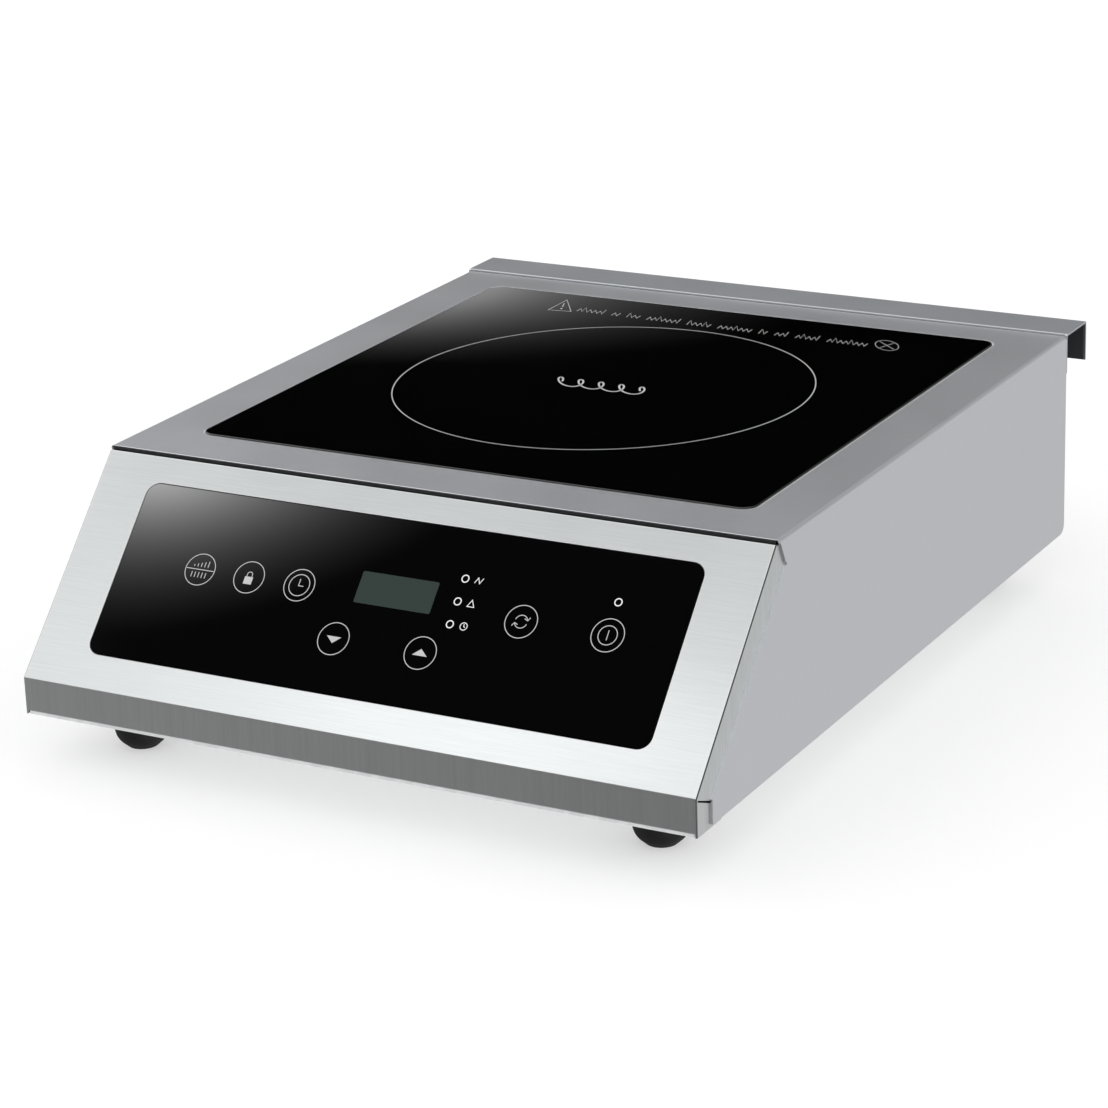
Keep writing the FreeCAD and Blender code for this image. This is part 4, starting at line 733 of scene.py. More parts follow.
def turned(
    place: Place, profile: Sequence[tuple[Any, float]], count: int = 40, ring: bool = False, spoil: Any = None
) -> Shell:
    """A turned shape: a profile carried round an axis, x = r cos a, y = r sin a, z = height.

    Args:
        place: The axis is this place's third direction.
        profile: Radius and height in mm, the radius one value or one for each step round. It starts and
            ends on the axis unless it is a ring.
        count: The number of steps round.
        ring: Whether the profile is closed and clear of the axis.
        spoil: A function of the x and y grids that says how much lower the points lie.

    Returns:
        The shape's shell.
    """
    turn = np.linspace(0, 2 * np.pi, count, endpoint=False)
    radius = np.stack([row + 0 * turn for row, _ in profile])
    height = np.array([level for _, level in profile], float)[:, None] + 0 * radius
    x, y = radius * np.cos(turn), radius * np.sin(turn)
    if spoil is not None:
        height = height - spoil(x, y) * (height > 0)
    return Shell(place.put(np.stack([x, y, height], axis=-1)), rows_meet=ring)


def swept(
    place: Place,
    path: Array,
    wide: float,
    high: float,
    toward: Array = UPWARD,
    count: int = 10,
    closed: bool = False,
) -> Shell:
    """A wire: an oval section carried along a path. Its first axis is the run crossed with a given direction.

    Args:
        place: Where the path lies.
        path: The wire's middle in mm.
        wide: Half of the section's width in mm.
        high: Half of its height, along the given direction, in mm.
        toward: That direction, one for the whole path or one for each point.
        count: The number of steps round the section.
        closed: Whether the path ends where it starts.

    Returns:
        The wire's shell, with its length as its own map.
    """
    run = np.roll(path, -1, axis=0) - np.roll(path, 1, axis=0)
    if not closed:
        run[0], run[-1] = path[1] - path[0], path[-1] - path[-2]
    side = np.cross(run, toward + np.zeros_like(path))
    side /= np.linalg.norm(side, axis=1, keepdims=True)
    above = np.cross(side, run)
    above /= np.linalg.norm(above, axis=1, keepdims=True)
    turn = np.linspace(0, 2 * np.pi, count, endpoint=False)[None, :, None]
    grid = path[:, None] + wide * np.cos(turn) * side[:, None] + high * np.sin(turn) * above[:, None]
    along = np.concatenate([[0], np.cumsum(np.linalg.norm(np.diff(path, axis=0), axis=1))])
    if not closed:
        ends = path[[0, -1]][:, None].repeat(count, axis=1)
        grid = np.concatenate([ends[:1], grid, ends[1:]])
        along = np.concatenate([[0], along, along[-1:]])
    return Shell(place.put(grid), rows_meet=closed, along=along)


def helix(radius: float, low: float, high: float, turns: float, flat: float = 1.0) -> Array:
    """A spring's middle line: even turns round the axis, with the end turns flat.

    Args:
        radius: The turns' radius in mm.
        low: The height of its lower end in mm.
        high: The height of its upper end in mm.
        turns: How many turns it has.
        flat: How many turns at each end don't climb.

    Returns:
        Points along it in mm. The height goes from low to high by the share of the climbing turns gone by.
    """
    gone = np.linspace(0, turns, int(turns * 24))
    climb = np.clip((gone - flat) / (turns - 2 * flat), 0, 1)
    turn = 2 * np.pi * gone
    return np.stack([radius * np.cos(turn), radius * np.sin(turn), low + (high - low) * climb], axis=-1)


@dataclass(frozen=True)
class PanScrew:
    """A pan-head screw with a cross recess.

    Attributes:
        head: The head's radius in mm.
        height: The head's height in mm.
        shank: The shank's radius in mm.
        length: The shank's length in mm.
    """

    head: float = 3.5
    height: float = 2.2
    shank: float = 1.9
    length: float = 7.0

    def recess(self, x: Array, y: Array) -> Array:
        """The cross: deep where the nearer axis is within half an arm's width, fading at the sides and ends.

        Args:
            x: The points' first coordinate in mm.
            y: Their second coordinate in mm.

        Returns:
            The depth at each point in mm.
        """
        half_arm, reach, side_fade, end_fade = (share * self.head for share in (0.2, 0.62, 0.06, 0.1))
        arm = np.clip((half_arm - np.minimum(np.abs(x), np.abs(y))) / side_fade, 0, 1)
        within = np.clip((reach - np.hypot(x, y)) / end_fade, 0, 1)
        return 0.5 * self.height * arm * within

    def shell(self, place: Place) -> Shell:
        """One screw. The head's top falls from its height by 0.45 of it times (r / R) to the power 4.

        Args:
            place: The middle of the head's seat, with the head on the third direction's side.

        Returns:
            The screw's shell.
        """
        reach = np.linspace(0, 0.96, 15) * self.head
        dome = self.height * (1 - 0.45 * (reach / self.head) ** 4)
        top = np.column_stack([reach, dome])
        rim = [(self.head, 0.4 * self.height), (self.head, 0.0)]
        shank = [(self.shank, 0.0), (self.shank, -0.9 * self.length)]
        tip = [(0.6 * self.shank, -self.length), (0.0, -self.length)]
        return turned(place, np.vstack([top, rim, shank, tip]), 48, spoil=self.recess)

    def build(self, name: str, places: Sequence[Place], node: str) -> None:
        """Makes one piece of such screws, at each of the places, to stand for a node."""
        shells = [self.shell(place) for place in places]
        make_piece(name, shells, ZINC_SCREW, stands_for=[node])


# -------------------------------------------------------------------------------- the hob's sub-assemblies


DECK = Place()
SLOPE = Place((0.0, -220.0, 40.5), (1.0, 0.0, 0.0), (0.0, 0.6811, 0.7322))
UNDERSIDE = Place((0.0, 0.0, 0.0), (1.0, 0.0, 0.0), (0.0, -1.0, 0.0))
REARWARD = Place((0.0, 0.0, 0.0), (-1.0, 0.0, 0.0), (0.0, 0.0, 1.0))


@dataclass
class Case:
    """The folded case, its floor, feet, screws and rivets.

    Attributes:
        floor: The height of the floor sheet's underside in mm.
        screws: Where the floor's screws are, across and along, in mm.
        rivets: Where the rear channel's rivets are across, in mm.
        rivet_height: Their height in mm.
        rivet_seat: How far back their heads sit in mm.
    """

    floor: float = 23.0
    screws: tuple[tuple[float, float], ...] = (
        *((side * 162.0, along) for side in (-1, 1) for along in (-150.0, -13.5, 123.0)),
        *((across, end) for across in (-85.0, 0.0, 85.0) for end in (-212.0, 185.0)),
    )
    rivets: tuple[float, ...] = (-143.0, -143.0 / 3, 143.0 / 3, 143.0)
    rivet_height: float = 117.5
    rivet_seat: float = 194.0

    def dress_sheets(self) -> None:
        """Gives the sheets, feet and hidden fasteners their finishes."""
        dress(DECK_STEEL, "top_cover")
        dress(FRONT_STEEL, "front_panel")
        dress(REAR_STEEL, "rear_panel")
        dress(CHANNEL_STEEL, "rear_spacer")
        dress(FLOOR_SHEET, "base_plate")
        dress(ZINC_SCREW, "foot_bolts", "foot_nuts")
        dress(FOOT_RUBBER, "front_left_foot", "front_right_foot", "rear_left_foot", "rear_right_foot")

    def build_screws(self) -> None:
        """Makes the floor's screws, heads down."""
        places = [UNDERSIDE.moved(x, -y, -self.floor) for x, y in self.screws]
        PanScrew().build("floor_pan_screws", places, "base_screws")

    def build_rivets(self) -> None:
        """Makes the blind rivets: a low dome with the pin's dimple, over a shank that fills its hole."""
        shank, grip = 1.6, 4.0
        dome = [(0.0, 0.65), (0.7, 0.65), (0.85, 0.98), (1.6, 0.86), (2.4, 0.55), (2.9, 0.2), (3.0, 0.0)]
        profile = [*dome, (shank, 0.0), (shank, -grip), (0.0, -grip)]
        shells = [turned(REARWARD.moved(-x, self.rivet_height, self.rivet_seat), profile) for x in self.rivets]
        make_piece("channel_blind_rivets", shells, RIVET_METAL, stands_for=["spacer_rivets"])

    def build(self) -> None:
        """Makes and dresses the whole case."""
        self.dress_sheets()
        self.build_screws()
        self.build_rivets()


@dataclass
class CookingPlate:
    """The cooking glass with its seal, its shelf and what is printed on it.

    Attributes:
        top: The height of the glass's top in mm.
        zone: The cooking zone's middle, across and along, in mm.
        sign: The coil sign's middle, across and along, in mm.
        ring: The printed ring's radius in mm.
        line: The printed lines' width in mm.
        notice_start: Where the printed row starts, across and along, in mm.
        notice_run: The row's direction, which isn't quite level with the glass's edge.
        words: How many strokes' pairs each of the row's scribbles has.
        pair: The length of a pair of strokes in mm.
        lean: How far the print leans to the left, as a share of its height.
    """

    top: float = 126.8
    zone: tuple[float, float] = (-3.2, 31.0)
    sign: tuple[float, float] = (-3.5, 28.8)
    ring: float = 101.3
    line: float = 0.5
    notice_start: tuple[float, float] = (-77.4, 142.6)
    notice_run: tuple[float, float, float] = (0.9997, -0.0242, 0.0)
    words: tuple[int, ...] = (6, 2, 3, 7, 5, 7, 2, 3, 5, 8)
    pair: float = 2.9
    lean: float = 0.46

    def leaned(self, points: Array) -> Array:
        """Leans a sign's points: x goes left by a share of y."""
        return points - self.lean * np.stack([points[:, 1], 0 * points[:, 1]], axis=-1)

    def ring_shells(self, face: Place) -> list[Shell]:
        """The cooking zone's ring."""
        return [stroke(face.moved(*self.zone), circle(self.ring, 256), self.line, True)]

    def coil_symbol(self, face: Place) -> list[Shell]:
        """The usual sign for induction: a coil drawn as a looping line.

        Its points are x = forward t - wide sin t and y = tall cos t, moved back by half of its length.

        Args:
            face: The glass's face.

        Returns:
            The line's shell.
        """
        forward, wide, tall, back, line = 1.75, 3.6, 6.0, 22.0, 0.9
        turn = np.linspace(-0.5 * np.pi, 8.5 * np.pi, 240)
        loops = np.stack([turn * forward - back - wide * np.sin(turn), tall * np.cos(turn)], axis=-1)
        return [stroke(face.moved(*self.sign), self.leaned(loops), line)]

    def scribble(self, row: Place, start: int, pairs: int) -> Shell:
        """Strokes that rise and fall in turn. Some are taller, where a cosine of their number is high.

        Args:
            row: The row's start.
            start: How many pairs of strokes come before.
            pairs: How many pairs it has.

        Returns:
            The scribble's shell.
        """
        high, low, late, line = 7.6, 4.8, 0.5, 0.36
        step = np.arange(2 * pairs)
        tall = np.where(np.cos(2.3 * step + start) > 0.6, high, low)
        across = self.pair * (start + step / 2) + late * (step % 2)
        return stroke(row, self.leaned(np.stack([across, tall * (step % 2)], axis=-1)), line)

    def notice(self, face: Place) -> list[Shell]:
        """A row of plain scribbles as a notice, with a triangle at one end and a crossed oval at the other.

        Args:
            face: The glass's face.

        Returns:
            The shells of its lines and of the triangle's dot.
        """
        triangle_line, bar_line, oval_line = 0.35, 0.5, 0.28
        row = Place(face.moved(*self.notice_start).origin, self.notice_run, np.cross(UPWARD, self.notice_run))
        starts = np.concatenate([[0], np.cumsum(np.array(self.words[:-1]) + 1)])
        triangle = np.array([[-16.6, -3.9], [-3.3, -2.0], [-7.6, 16.7]])
        bar = np.array([[-8.6, 10.2], [-9.0, 3.6]])
        oval = circle(1.0, 64) * (6.3, 7.8)
        arms = [np.array([[-3.8, -5.0 * way], [3.8, 5.0 * way]]) for way in (1, -1)]
        sign = row.moved(172.1, 5.7)
        return [
            *(self.scribble(row, int(start), pairs) for start, pairs in zip(starts, self.words)),
            stroke(row, self.leaned(triangle), triangle_line, True),
            stroke(row, self.leaned(bar), bar_line),
            filled(row, self.leaned(circle(0.7, 12, -9.3, 0.8))),
            stroke(sign, self.leaned(oval), oval_line, True),
            *(stroke(sign, self.leaned(arm), oval_line) for arm in arms),
        ]

    def build(self) -> None:
        """Makes the print and dresses the glass and what holds it."""
        dress(GLASS_CERAMIC, "ceramic_glass")
        dress(GREY_SEAL, "glass_seal")
        dress(ZINC_PLATE, "glass_shelf")
        face = DECK.moved(0.0, 0.0, self.top)
        for name, shells in (
            ("printed_zone_ring", self.ring_shells(face)),
            ("printed_coil_sign", self.coil_symbol(face)),
            ("printed_notice_row", self.notice(face)),
        ):
            make_piece(name, shells, PRINT_INK)


@dataclass
class TouchPanel:
    """The touch glass in the sloping front, its signs and what is behind it.

    Attributes:
        proud: How far the glass stands out of the slope in mm.
        line: The signs' line width in mm.
        keys: The keys' middles, across and up the slope, in mm.
        key: The radius of a key's ring in mm.
        lights: The indicator lights' middles in mm.
        light: The radius of a light's ring in mm.
        window: The display window's left, right, lower and upper edges in mm.
        spring_span: The depths at which a key's spring starts and ends in mm.
        screws: The board's screws, across and up, in mm.
        screw_seat: The depth of the board's back in mm.
    """

    proud: float = 0.2
    line: float = 0.36
    keys: dict[str, tuple[float, float]] = field(
        default_factory=lambda: {
            "level": (-98.9, 64.1),
            "lock": (-72.9, 64.1),
            "clock": (-46.6, 64.2),
            "down": (-20.7, 42.3),
            "up": (23.1, 42.4),
            "select": (65.2, 63.8),
            "power": (106.8, 63.9),
        }
    )
    key: float = 7.6
    lights: tuple[tuple[float, float], ...] = ((32.4, 57.5), (32.4, 68.35), (32.4, 79.2), (106.8, 79.3))
    light: float = 1.65
    window: tuple[float, float, float, float] = (-17.5, 21.0, 60.5, 75.6)
    spring_span: tuple[float, float] = (-10.4, -2.8)
    screws: tuple[tuple[float, float], ...] = ((-136.4, 21.6), (-136.4, 97.4), (136.4, 21.6), (136.4, 97.4))
    screw_seat: float = -12.0

    def face(self) -> Place:
        """The glass's face."""
        return SLOPE.moved(0.0, 0.0, self.proud)

    def key_sign(self, name: str) -> list[Shell]:
        """One key's ring and the sign in it.

        Args:
            name: The key's name.

        Returns:
            The shells of its lines.
        """
        at = self.face().moved(*self.keys[name])
        ring = stroke(at, circle(self.key, 96), self.line, True)
        lines: dict[str, list[tuple[Array, bool]]] = {
            "level": [
                (np.array([[-7.2, 0.0], [7.2, 0.0]]), False),
                *((np.array([[x, 1.3], [x, 3.3 + 0.3 * x]]), False) for x in (-3.6, -1.8, 0.0, 1.8, 3.6)),
                *((np.array([[x, -1.3], [x, -3.9]]), False) for x in (-3.6, -1.8, 0.0, 1.8, 3.6)),
            ],
            "lock": [(np.vstack([[[1.3, 0.2]], arc(1.3, 0.0, 180.0, 16, 0.0, 1.3), [[-1.3, 0.2]]]), False)],
            "clock": [(circle(5.1, 64), True), (np.array([[-0.3, 3.0], [-0.3, -0.3], [2.2, -0.3]]), False)],
            "down": [],
            "up": [],
            "select": [
                (arc(3.0, 15.0, 165.0, 24), False),
                (arc(3.0, 195.0, 345.0, 24), False),
                (np.array([[1.2, 1.6], [2.9, 0.8], [3.9, 2.4]]), False),
                (np.array([[-1.2, -1.6], [-2.9, -0.8], [-3.9, -2.4]]), False),
            ],
            "power": [(circle(4.4, 64), True), (np.array([[0.0, 2.3], [0.0, -2.3]]), False)],
        }
        areas: dict[str, Array] = {
            "lock": np.array([[-2.1, -3.3], [2.1, -3.3], [2.1, 0.3], [-2.1, 0.3]]),
            "down": np.array([[-3.7, 1.1], [0.0, -2.1], [3.7, 1.1]]),
            "up": np.array([[-3.7, -1.3], [3.7, -1.3], [0.0, 1.9]]),
        }
        solid = [filled(at, areas[name])] if name in areas else []
        return [ring, *solid, *(stroke(at, path, self.line, closed) for path, closed in lines[name])]

    def light_signs(self) -> list[Shell]:
        """The lights' rings, with a small plain sign beside each of the three in a column.

        Returns:
            The shells of their lines.
        """
        ring_line, sign_line, beside = 0.5, 0.35, 6.8
        rings = [stroke(self.face().moved(*at), circle(self.light, 40), ring_line, True) for at in self.lights]
        low, middle, high = (self.face().moved(x + beside, up) for x, up in self.lights[:3])
        signs = [
            (low, circle(1.7, 32), True),
            (low, np.array([[0.0, 1.1], [0.0, 0.0], [0.8, -0.5]]), False),
            (middle, np.array([[-1.7, -1.6], [1.7, -1.6], [0.0, 1.6]]), True),
            (high, np.array([[-1.9, -1.3], [-0.6, 1.3], [0.6, -1.3], [1.9, 1.3]]), False),
        ]
        return [*rings, *(stroke(at, path, sign_line, closed) for at, path, closed in signs)]

    def window_outline(self) -> Array:
        """The display window: a rectangle with rounded corners, worked out as four arcs.

        Returns:
            Points round it in mm.
        """
        radius = 0.8
        left, right, low, high = self.window
        corners = ((right, high, 0.0), (left, high, 90.0), (left, low, 180.0), (right, low, 270.0))
        middle = np.array([(left + right) / 2, (low + high) / 2])
        inward = [np.sign(middle - (x, y)) * radius for x, y, _ in corners]
        arcs = [arc(radius, a, a + 90.0, 6, x + i[0], y + i[1]) for (x, y, a), i in zip(corners, inward)]
        return np.vstack(arcs)

    def build_signs(self) -> None:
        """Prints the keys' and lights' signs on the glass, and its display window."""
        for name in self.keys:
            make_piece(f"printed_{name}_key", self.key_sign(name), PRINT_INK)
        make_piece("printed_light_signs", self.light_signs(), LAMP_INK)
        face = self.face()
        window = filled(face, self.window_outline(), 0.03)
        make_piece("display_window", [window], SMOKED_WINDOW)

    def build_inside(self) -> None:
        """Makes the key springs and the board's screws."""
        low, high = self.spring_span
        radius, wire, inset = 3.4, 0.34, 0.35
        turns = helix(radius, low + inset, high - inset, 6.0)
        springs = [swept(SLOPE.moved(*at), turns, wire, wire, count=6) for at in self.keys.values()]
        make_piece("key_contact_springs", springs, SPRING_WIRE, stands_for=["key_springs"])
        back = Place(SLOPE.origin, (-1.0, 0.0, 0.0), SLOPE.up)
        places = [back.moved(-x, up, -self.screw_seat) for x, up in self.screws]
        PanScrew(2.6, 1.2, 1.45, 4.8).build("touch_board_screws", places, "control_board_screws")

    def build(self) -> None:
        """Makes and dresses the whole panel."""
        dress(TOUCH_GLASS, "control_glass")
        dress(BLACK_SEAL, "control_glass_tape")
        dress(BLACK_NYLON, "control_tray")
        dress(SOLDER_MASK, "control_board")
        dress(GREY_LENS, "led_display", "indicator_leds")
        self.build_signs()
        self.build_inside()


@dataclass
class CoilUnit:
    """The induction coil on its sprung former under the cooking glass.

    Attributes:
        zone: The coil's middle, across and along, in mm.
        bore: The winding's inner radius in mm.
        reach: The winding's outer radius in mm.
        low: The winding's lower face in mm.
        high: The winding's upper face in mm.
        turns: How many turns the winding has.
        posts: The circle of the sprung posts in mm.
        spring: A spring's outer radius in mm.
        spring_span: The heights at which a spring starts and ends in mm.
    """

    zone: tuple[float, float] = (0.0, 30.0)
    bore: float = 22.0
    reach: float = 95.0
    low: float = 117.8
    high: float = 122.3
    turns: int = 22
    posts: float = 92.0
    spring: float = 7.0
    spring_span: tuple[float, float] = (94.5, 113.8)

    def build_winding(self) -> None:
        """Winds the coil: a flat spiral of oval wire, whose radius grows evenly with the turn."""
        steps, clear = 72, 0.97
        half = (self.reach - self.bore) / (self.turns + 1) / 2
        gone = np.linspace(0, self.turns, self.turns * steps)
        radius = self.bore + half + 2 * half * gone
        turn = 2 * np.pi * gone
        height = np.full_like(turn, (self.low + self.high) / 2)
        path = np.stack([radius * np.cos(turn), radius * np.sin(turn), height], axis=-1)
        wire = swept(DECK.moved(*self.zone), path, half * clear, (self.high - self.low) / 2)
        make_piece("litz_winding", [wire], LITZ_WIRE, stands_for=["induction_coil"])

    def build_springs(self) -> None:
        """Makes the three springs that press the coil to the glass."""
        wire = 0.45
        turns = helix(self.spring - wire, self.spring_span[0] + wire, self.spring_span[1] - wire, 7.0)
        angles = np.radians([90.0, 210.0, 330.0])
        posts = np.asarray(self.zone) + self.posts * np.stack([np.cos(angles), np.sin(angles)], axis=-1)
        shells = [swept(DECK.moved(*post), turns, wire, wire, count=8) for post in posts]
        make_piece("coil_lift_springs", shells, SPRING_WIRE, stands_for=["coil_springs"])

    def build(self) -> None:
        """Makes and dresses the coil unit."""
        dress(PRESSED_MICA, "mica_sheet")
        dress(BLACK_NYLON, "coil_former", "coil_posts")
        dress(FERRITE, "ferrite_bars")
        dress(WHITE_SILICONE, "sensor_holder", "temperature_sensor")
        self.build_winding()
        self.build_springs()


@dataclass
class PowerUnit:
    """The power board with its heat sink, capacitors and choke.

    Attributes:
        screws: The board's screws, across and along, in mm.
        board: The height of the board's top in mm.
        choke: The choke's middle, across and along, in mm.
        choke_span: The heights of its lower and upper face in mm.
        choke_radii: Its bore and outer radius in mm.
        choke_turns: How many turns of wire it has.
    """

    screws: tuple[tuple[float, float], ...] = (
        *((x, y) for x in (-94.0, 0.0, 94.0) for y in (-122.0, -36.0)),
    )
    board: float = 36.1
    choke: tuple[float, float] = (24.0, -79.0)
    choke_span: tuple[float, float] = (36.1, 48.1)
    choke_radii: tuple[float, float] = (5.0, 12.0)
    choke_turns: int = 20

    def build_screws(self) -> None:
        """Makes the board's screws."""
        places = [DECK.moved(x, y, self.board) for x, y in self.screws]
        PanScrew(2.6, 1.2, 1.45, 6.6).build("board_pan_screws", places, "power_board_screws")

    def build_choke(self) -> None:
        """Makes the choke: a ring core, and a wire that goes round the section as it goes round the ring.

        The wire's distance from the section's middle follows a rounded box: half width and height times
        cosine and sine of the winding angle, each raised to the power 1/2.
        """
        wire, steps = 0.55, 20
        low, high = self.choke_span
        inner, outer = self.choke_radii
        middle, wide, tall = (inner + outer) / 2, (outer - inner) / 2, (high - low) / 2
        place = DECK.moved(*self.choke, (low + high) / 2)
        edge = 2 * wire
        box = [(-1, -1), (1, -1), (1, 1), (-1, 1)]
        core = [(middle + x * (wide - edge), z * (tall - edge)) for x, z in box]
        around = np.linspace(0, 2 * np.pi, self.choke_turns * steps, endpoint=False)
        wound = around * self.choke_turns
        out = np.sign(np.cos(wound)) * np.sqrt(np.abs(np.cos(wound))) * (wide - wire)
        height = np.sign(np.sin(wound)) * np.sqrt(np.abs(np.sin(wound))) * (tall - wire)
        path = np.stack([(middle + out) * np.cos(around), (middle + out) * np.sin(around), height], axis=-1)
        away = np.stack([out * np.cos(around), out * np.sin(around), height], axis=-1)
        ring = turned(place, core, 48, True)
        make_piece("choke_core", [ring], FERRITE, stands_for=["filter_choke"])
        winding = swept(place, path, wire, wire, away, 6, True)
        make_piece("choke_winding", [winding], MAGNET_WIRE)

    def build(self) -> None:
        """Makes and dresses the power electronics."""
        dress(SOLDER_MASK, "power_board")
        dress(WHITE_NYLON, "board_standoffs")
        dress(EXTRUSION, "heat_sink")
        dress(BLACK_NYLON, "power_transistors", "bridge_rectifier")
        dress(CAPACITOR_CASE, "filter_capacitors", "resonance_capacitors")
        self.build_screws()
        self.build_choke()


@dataclass
class Fan:
    """One axial cooling fan.

    Attributes:
        name: Which fan it is.
        across: Its axis's distance from the hob's middle in mm.
        along: How far back its axis is in mm.
        cup: The rotor cup's outer radius, wall, lower edge and top in mm.
        reach: The blades' reach in mm.
        blades: How many blades it has.
        span: The heights of a blade's leading and trailing edge in mm.
        chord: A blade's width round the fan in mm.
    """

    name: str
    across: float
    along: float = 120.0
    cup: tuple[float, float, float, float] = (17.5, 2.0, 28.5, 44.5)
    reach: float = 41.0
    blades: int = 7
    span: tuple[float, float] = (29.7, 41.3)
    chord: float = 16.0

    def cup_shell(self, place: Place) -> Shell:
        """The rotor's cup, open below, with a rounded upper rim.

        Args:
            place: The fan's axis.

        Returns:
            The cup's shell.
        """
        radius, wall, low, top = self.cup
        rim = arc(1.0, 0, 90, 6, radius - 1, top - 1)
        inside = [(0.0, top - wall), (radius - wall, top - wall), (radius - wall, low), (radius, low)]
        return turned(place, np.vstack([inside, rim, [(0.0, top)]]), 72)

    def blade_shell(self, place: Place, start: float) -> Shell:
        """One twisted blade on a grid of its radius and its section's turn.

        From its root to its tip the blade sweeps forward, widens and flattens. Its section is a bowed oval:
        chord times cosine along the blade, half a thickness times sine across it. Its height is drawn in
        somewhat, so that it keeps within the fan's span.

        Args:
            place: The fan's axis.
            start: The turn of the blade's root in radians.

        Returns:
            The blade's shell.
        """
        sweep, root_tilt, flattening = 22, 48, 22
        camber, half_thickness, kept_rise, kept_bow = 1.1, 0.75, 0.86, 0.6
        share = np.linspace(0, 1, 12)[:, None]
        turn = np.linspace(0, 2 * np.pi, 20, endpoint=False)[None, :]
        root = self.cup[0] - self.cup[1] / 2
        radius = root + (self.reach - root) * share
        low, high = self.span
        chord = self.chord * (0.72 + 0.28 * share)
        tilt = np.radians(root_tilt - flattening * share)
        rise = np.minimum(chord * np.sin(tilt), high - low) / 2
        level = chord * np.cos(tilt) / 2
        off = half_thickness * np.sin(turn) + camber * (1 - np.cos(turn) ** 2)
        round_way = level * np.cos(turn) - off * np.sin(tilt)
        height = (low + high) / 2 + rise * np.cos(turn) * kept_rise + off * np.cos(tilt) * kept_bow
        angle = start + np.radians(sweep) * share + round_way / radius
        points = np.stack([radius * np.cos(angle), radius * np.sin(angle), height], axis=-1)
        ends = points[[0, -1]].mean(axis=1, keepdims=True).repeat(20, axis=1)
        return Shell(place.put(np.concatenate([ends[:1], points, ends[1:]])))

    def build(self) -> None:
        """Makes the rotor and dresses the rest."""
        place = DECK.moved(self.across, self.along)
        starts = np.linspace(0, 2 * np.pi, self.blades, endpoint=False)
        shells = [self.cup_shell(place), *(self.blade_shell(place, start) for start in starts)]
        fan = f"{self.name}_fan"
        make_piece(f"{fan}_impeller", shells, BLACK_NYLON, fan, [f"{fan}_rotor"])
        for finish, node in (
            (BLACK_NYLON, "frame"),
            (TURNED_BRASS, "bush"),
            (WOUND_STATOR, "stator"),
            (ZINC_SCREW, "shaft"),
        ):
            dress(finish, f"{fan}_{node}")


@dataclass
class FanPair:
    """Both fans and the eight screws that hold them.

    Attributes:
        across: Each fan's distance from the hob's middle in mm.
        along: How far back their axes are in mm.
        pitch: Half of the screws' spacing in mm.
        seat: The height of the screws' seats in mm.
    """

    across: float = 62.0
    along: float = 120.0
    pitch: float = 41.25
    seat: float = 49.5

    def build(self) -> None:
        """Makes both fans and their screws."""
        for name, side in (("left", -1), ("right", 1)):
            Fan(name, side * self.across, self.along).build()
        places = [
            DECK.moved(side * self.across + x, self.along + y, self.seat)
            for side in (-1, 1)
            for x in (-self.pitch, self.pitch)
            for y in (-self.pitch, self.pitch)
        ]
        PanScrew(length=25.0).build("fan_pan_screws", places, "fan_screws")


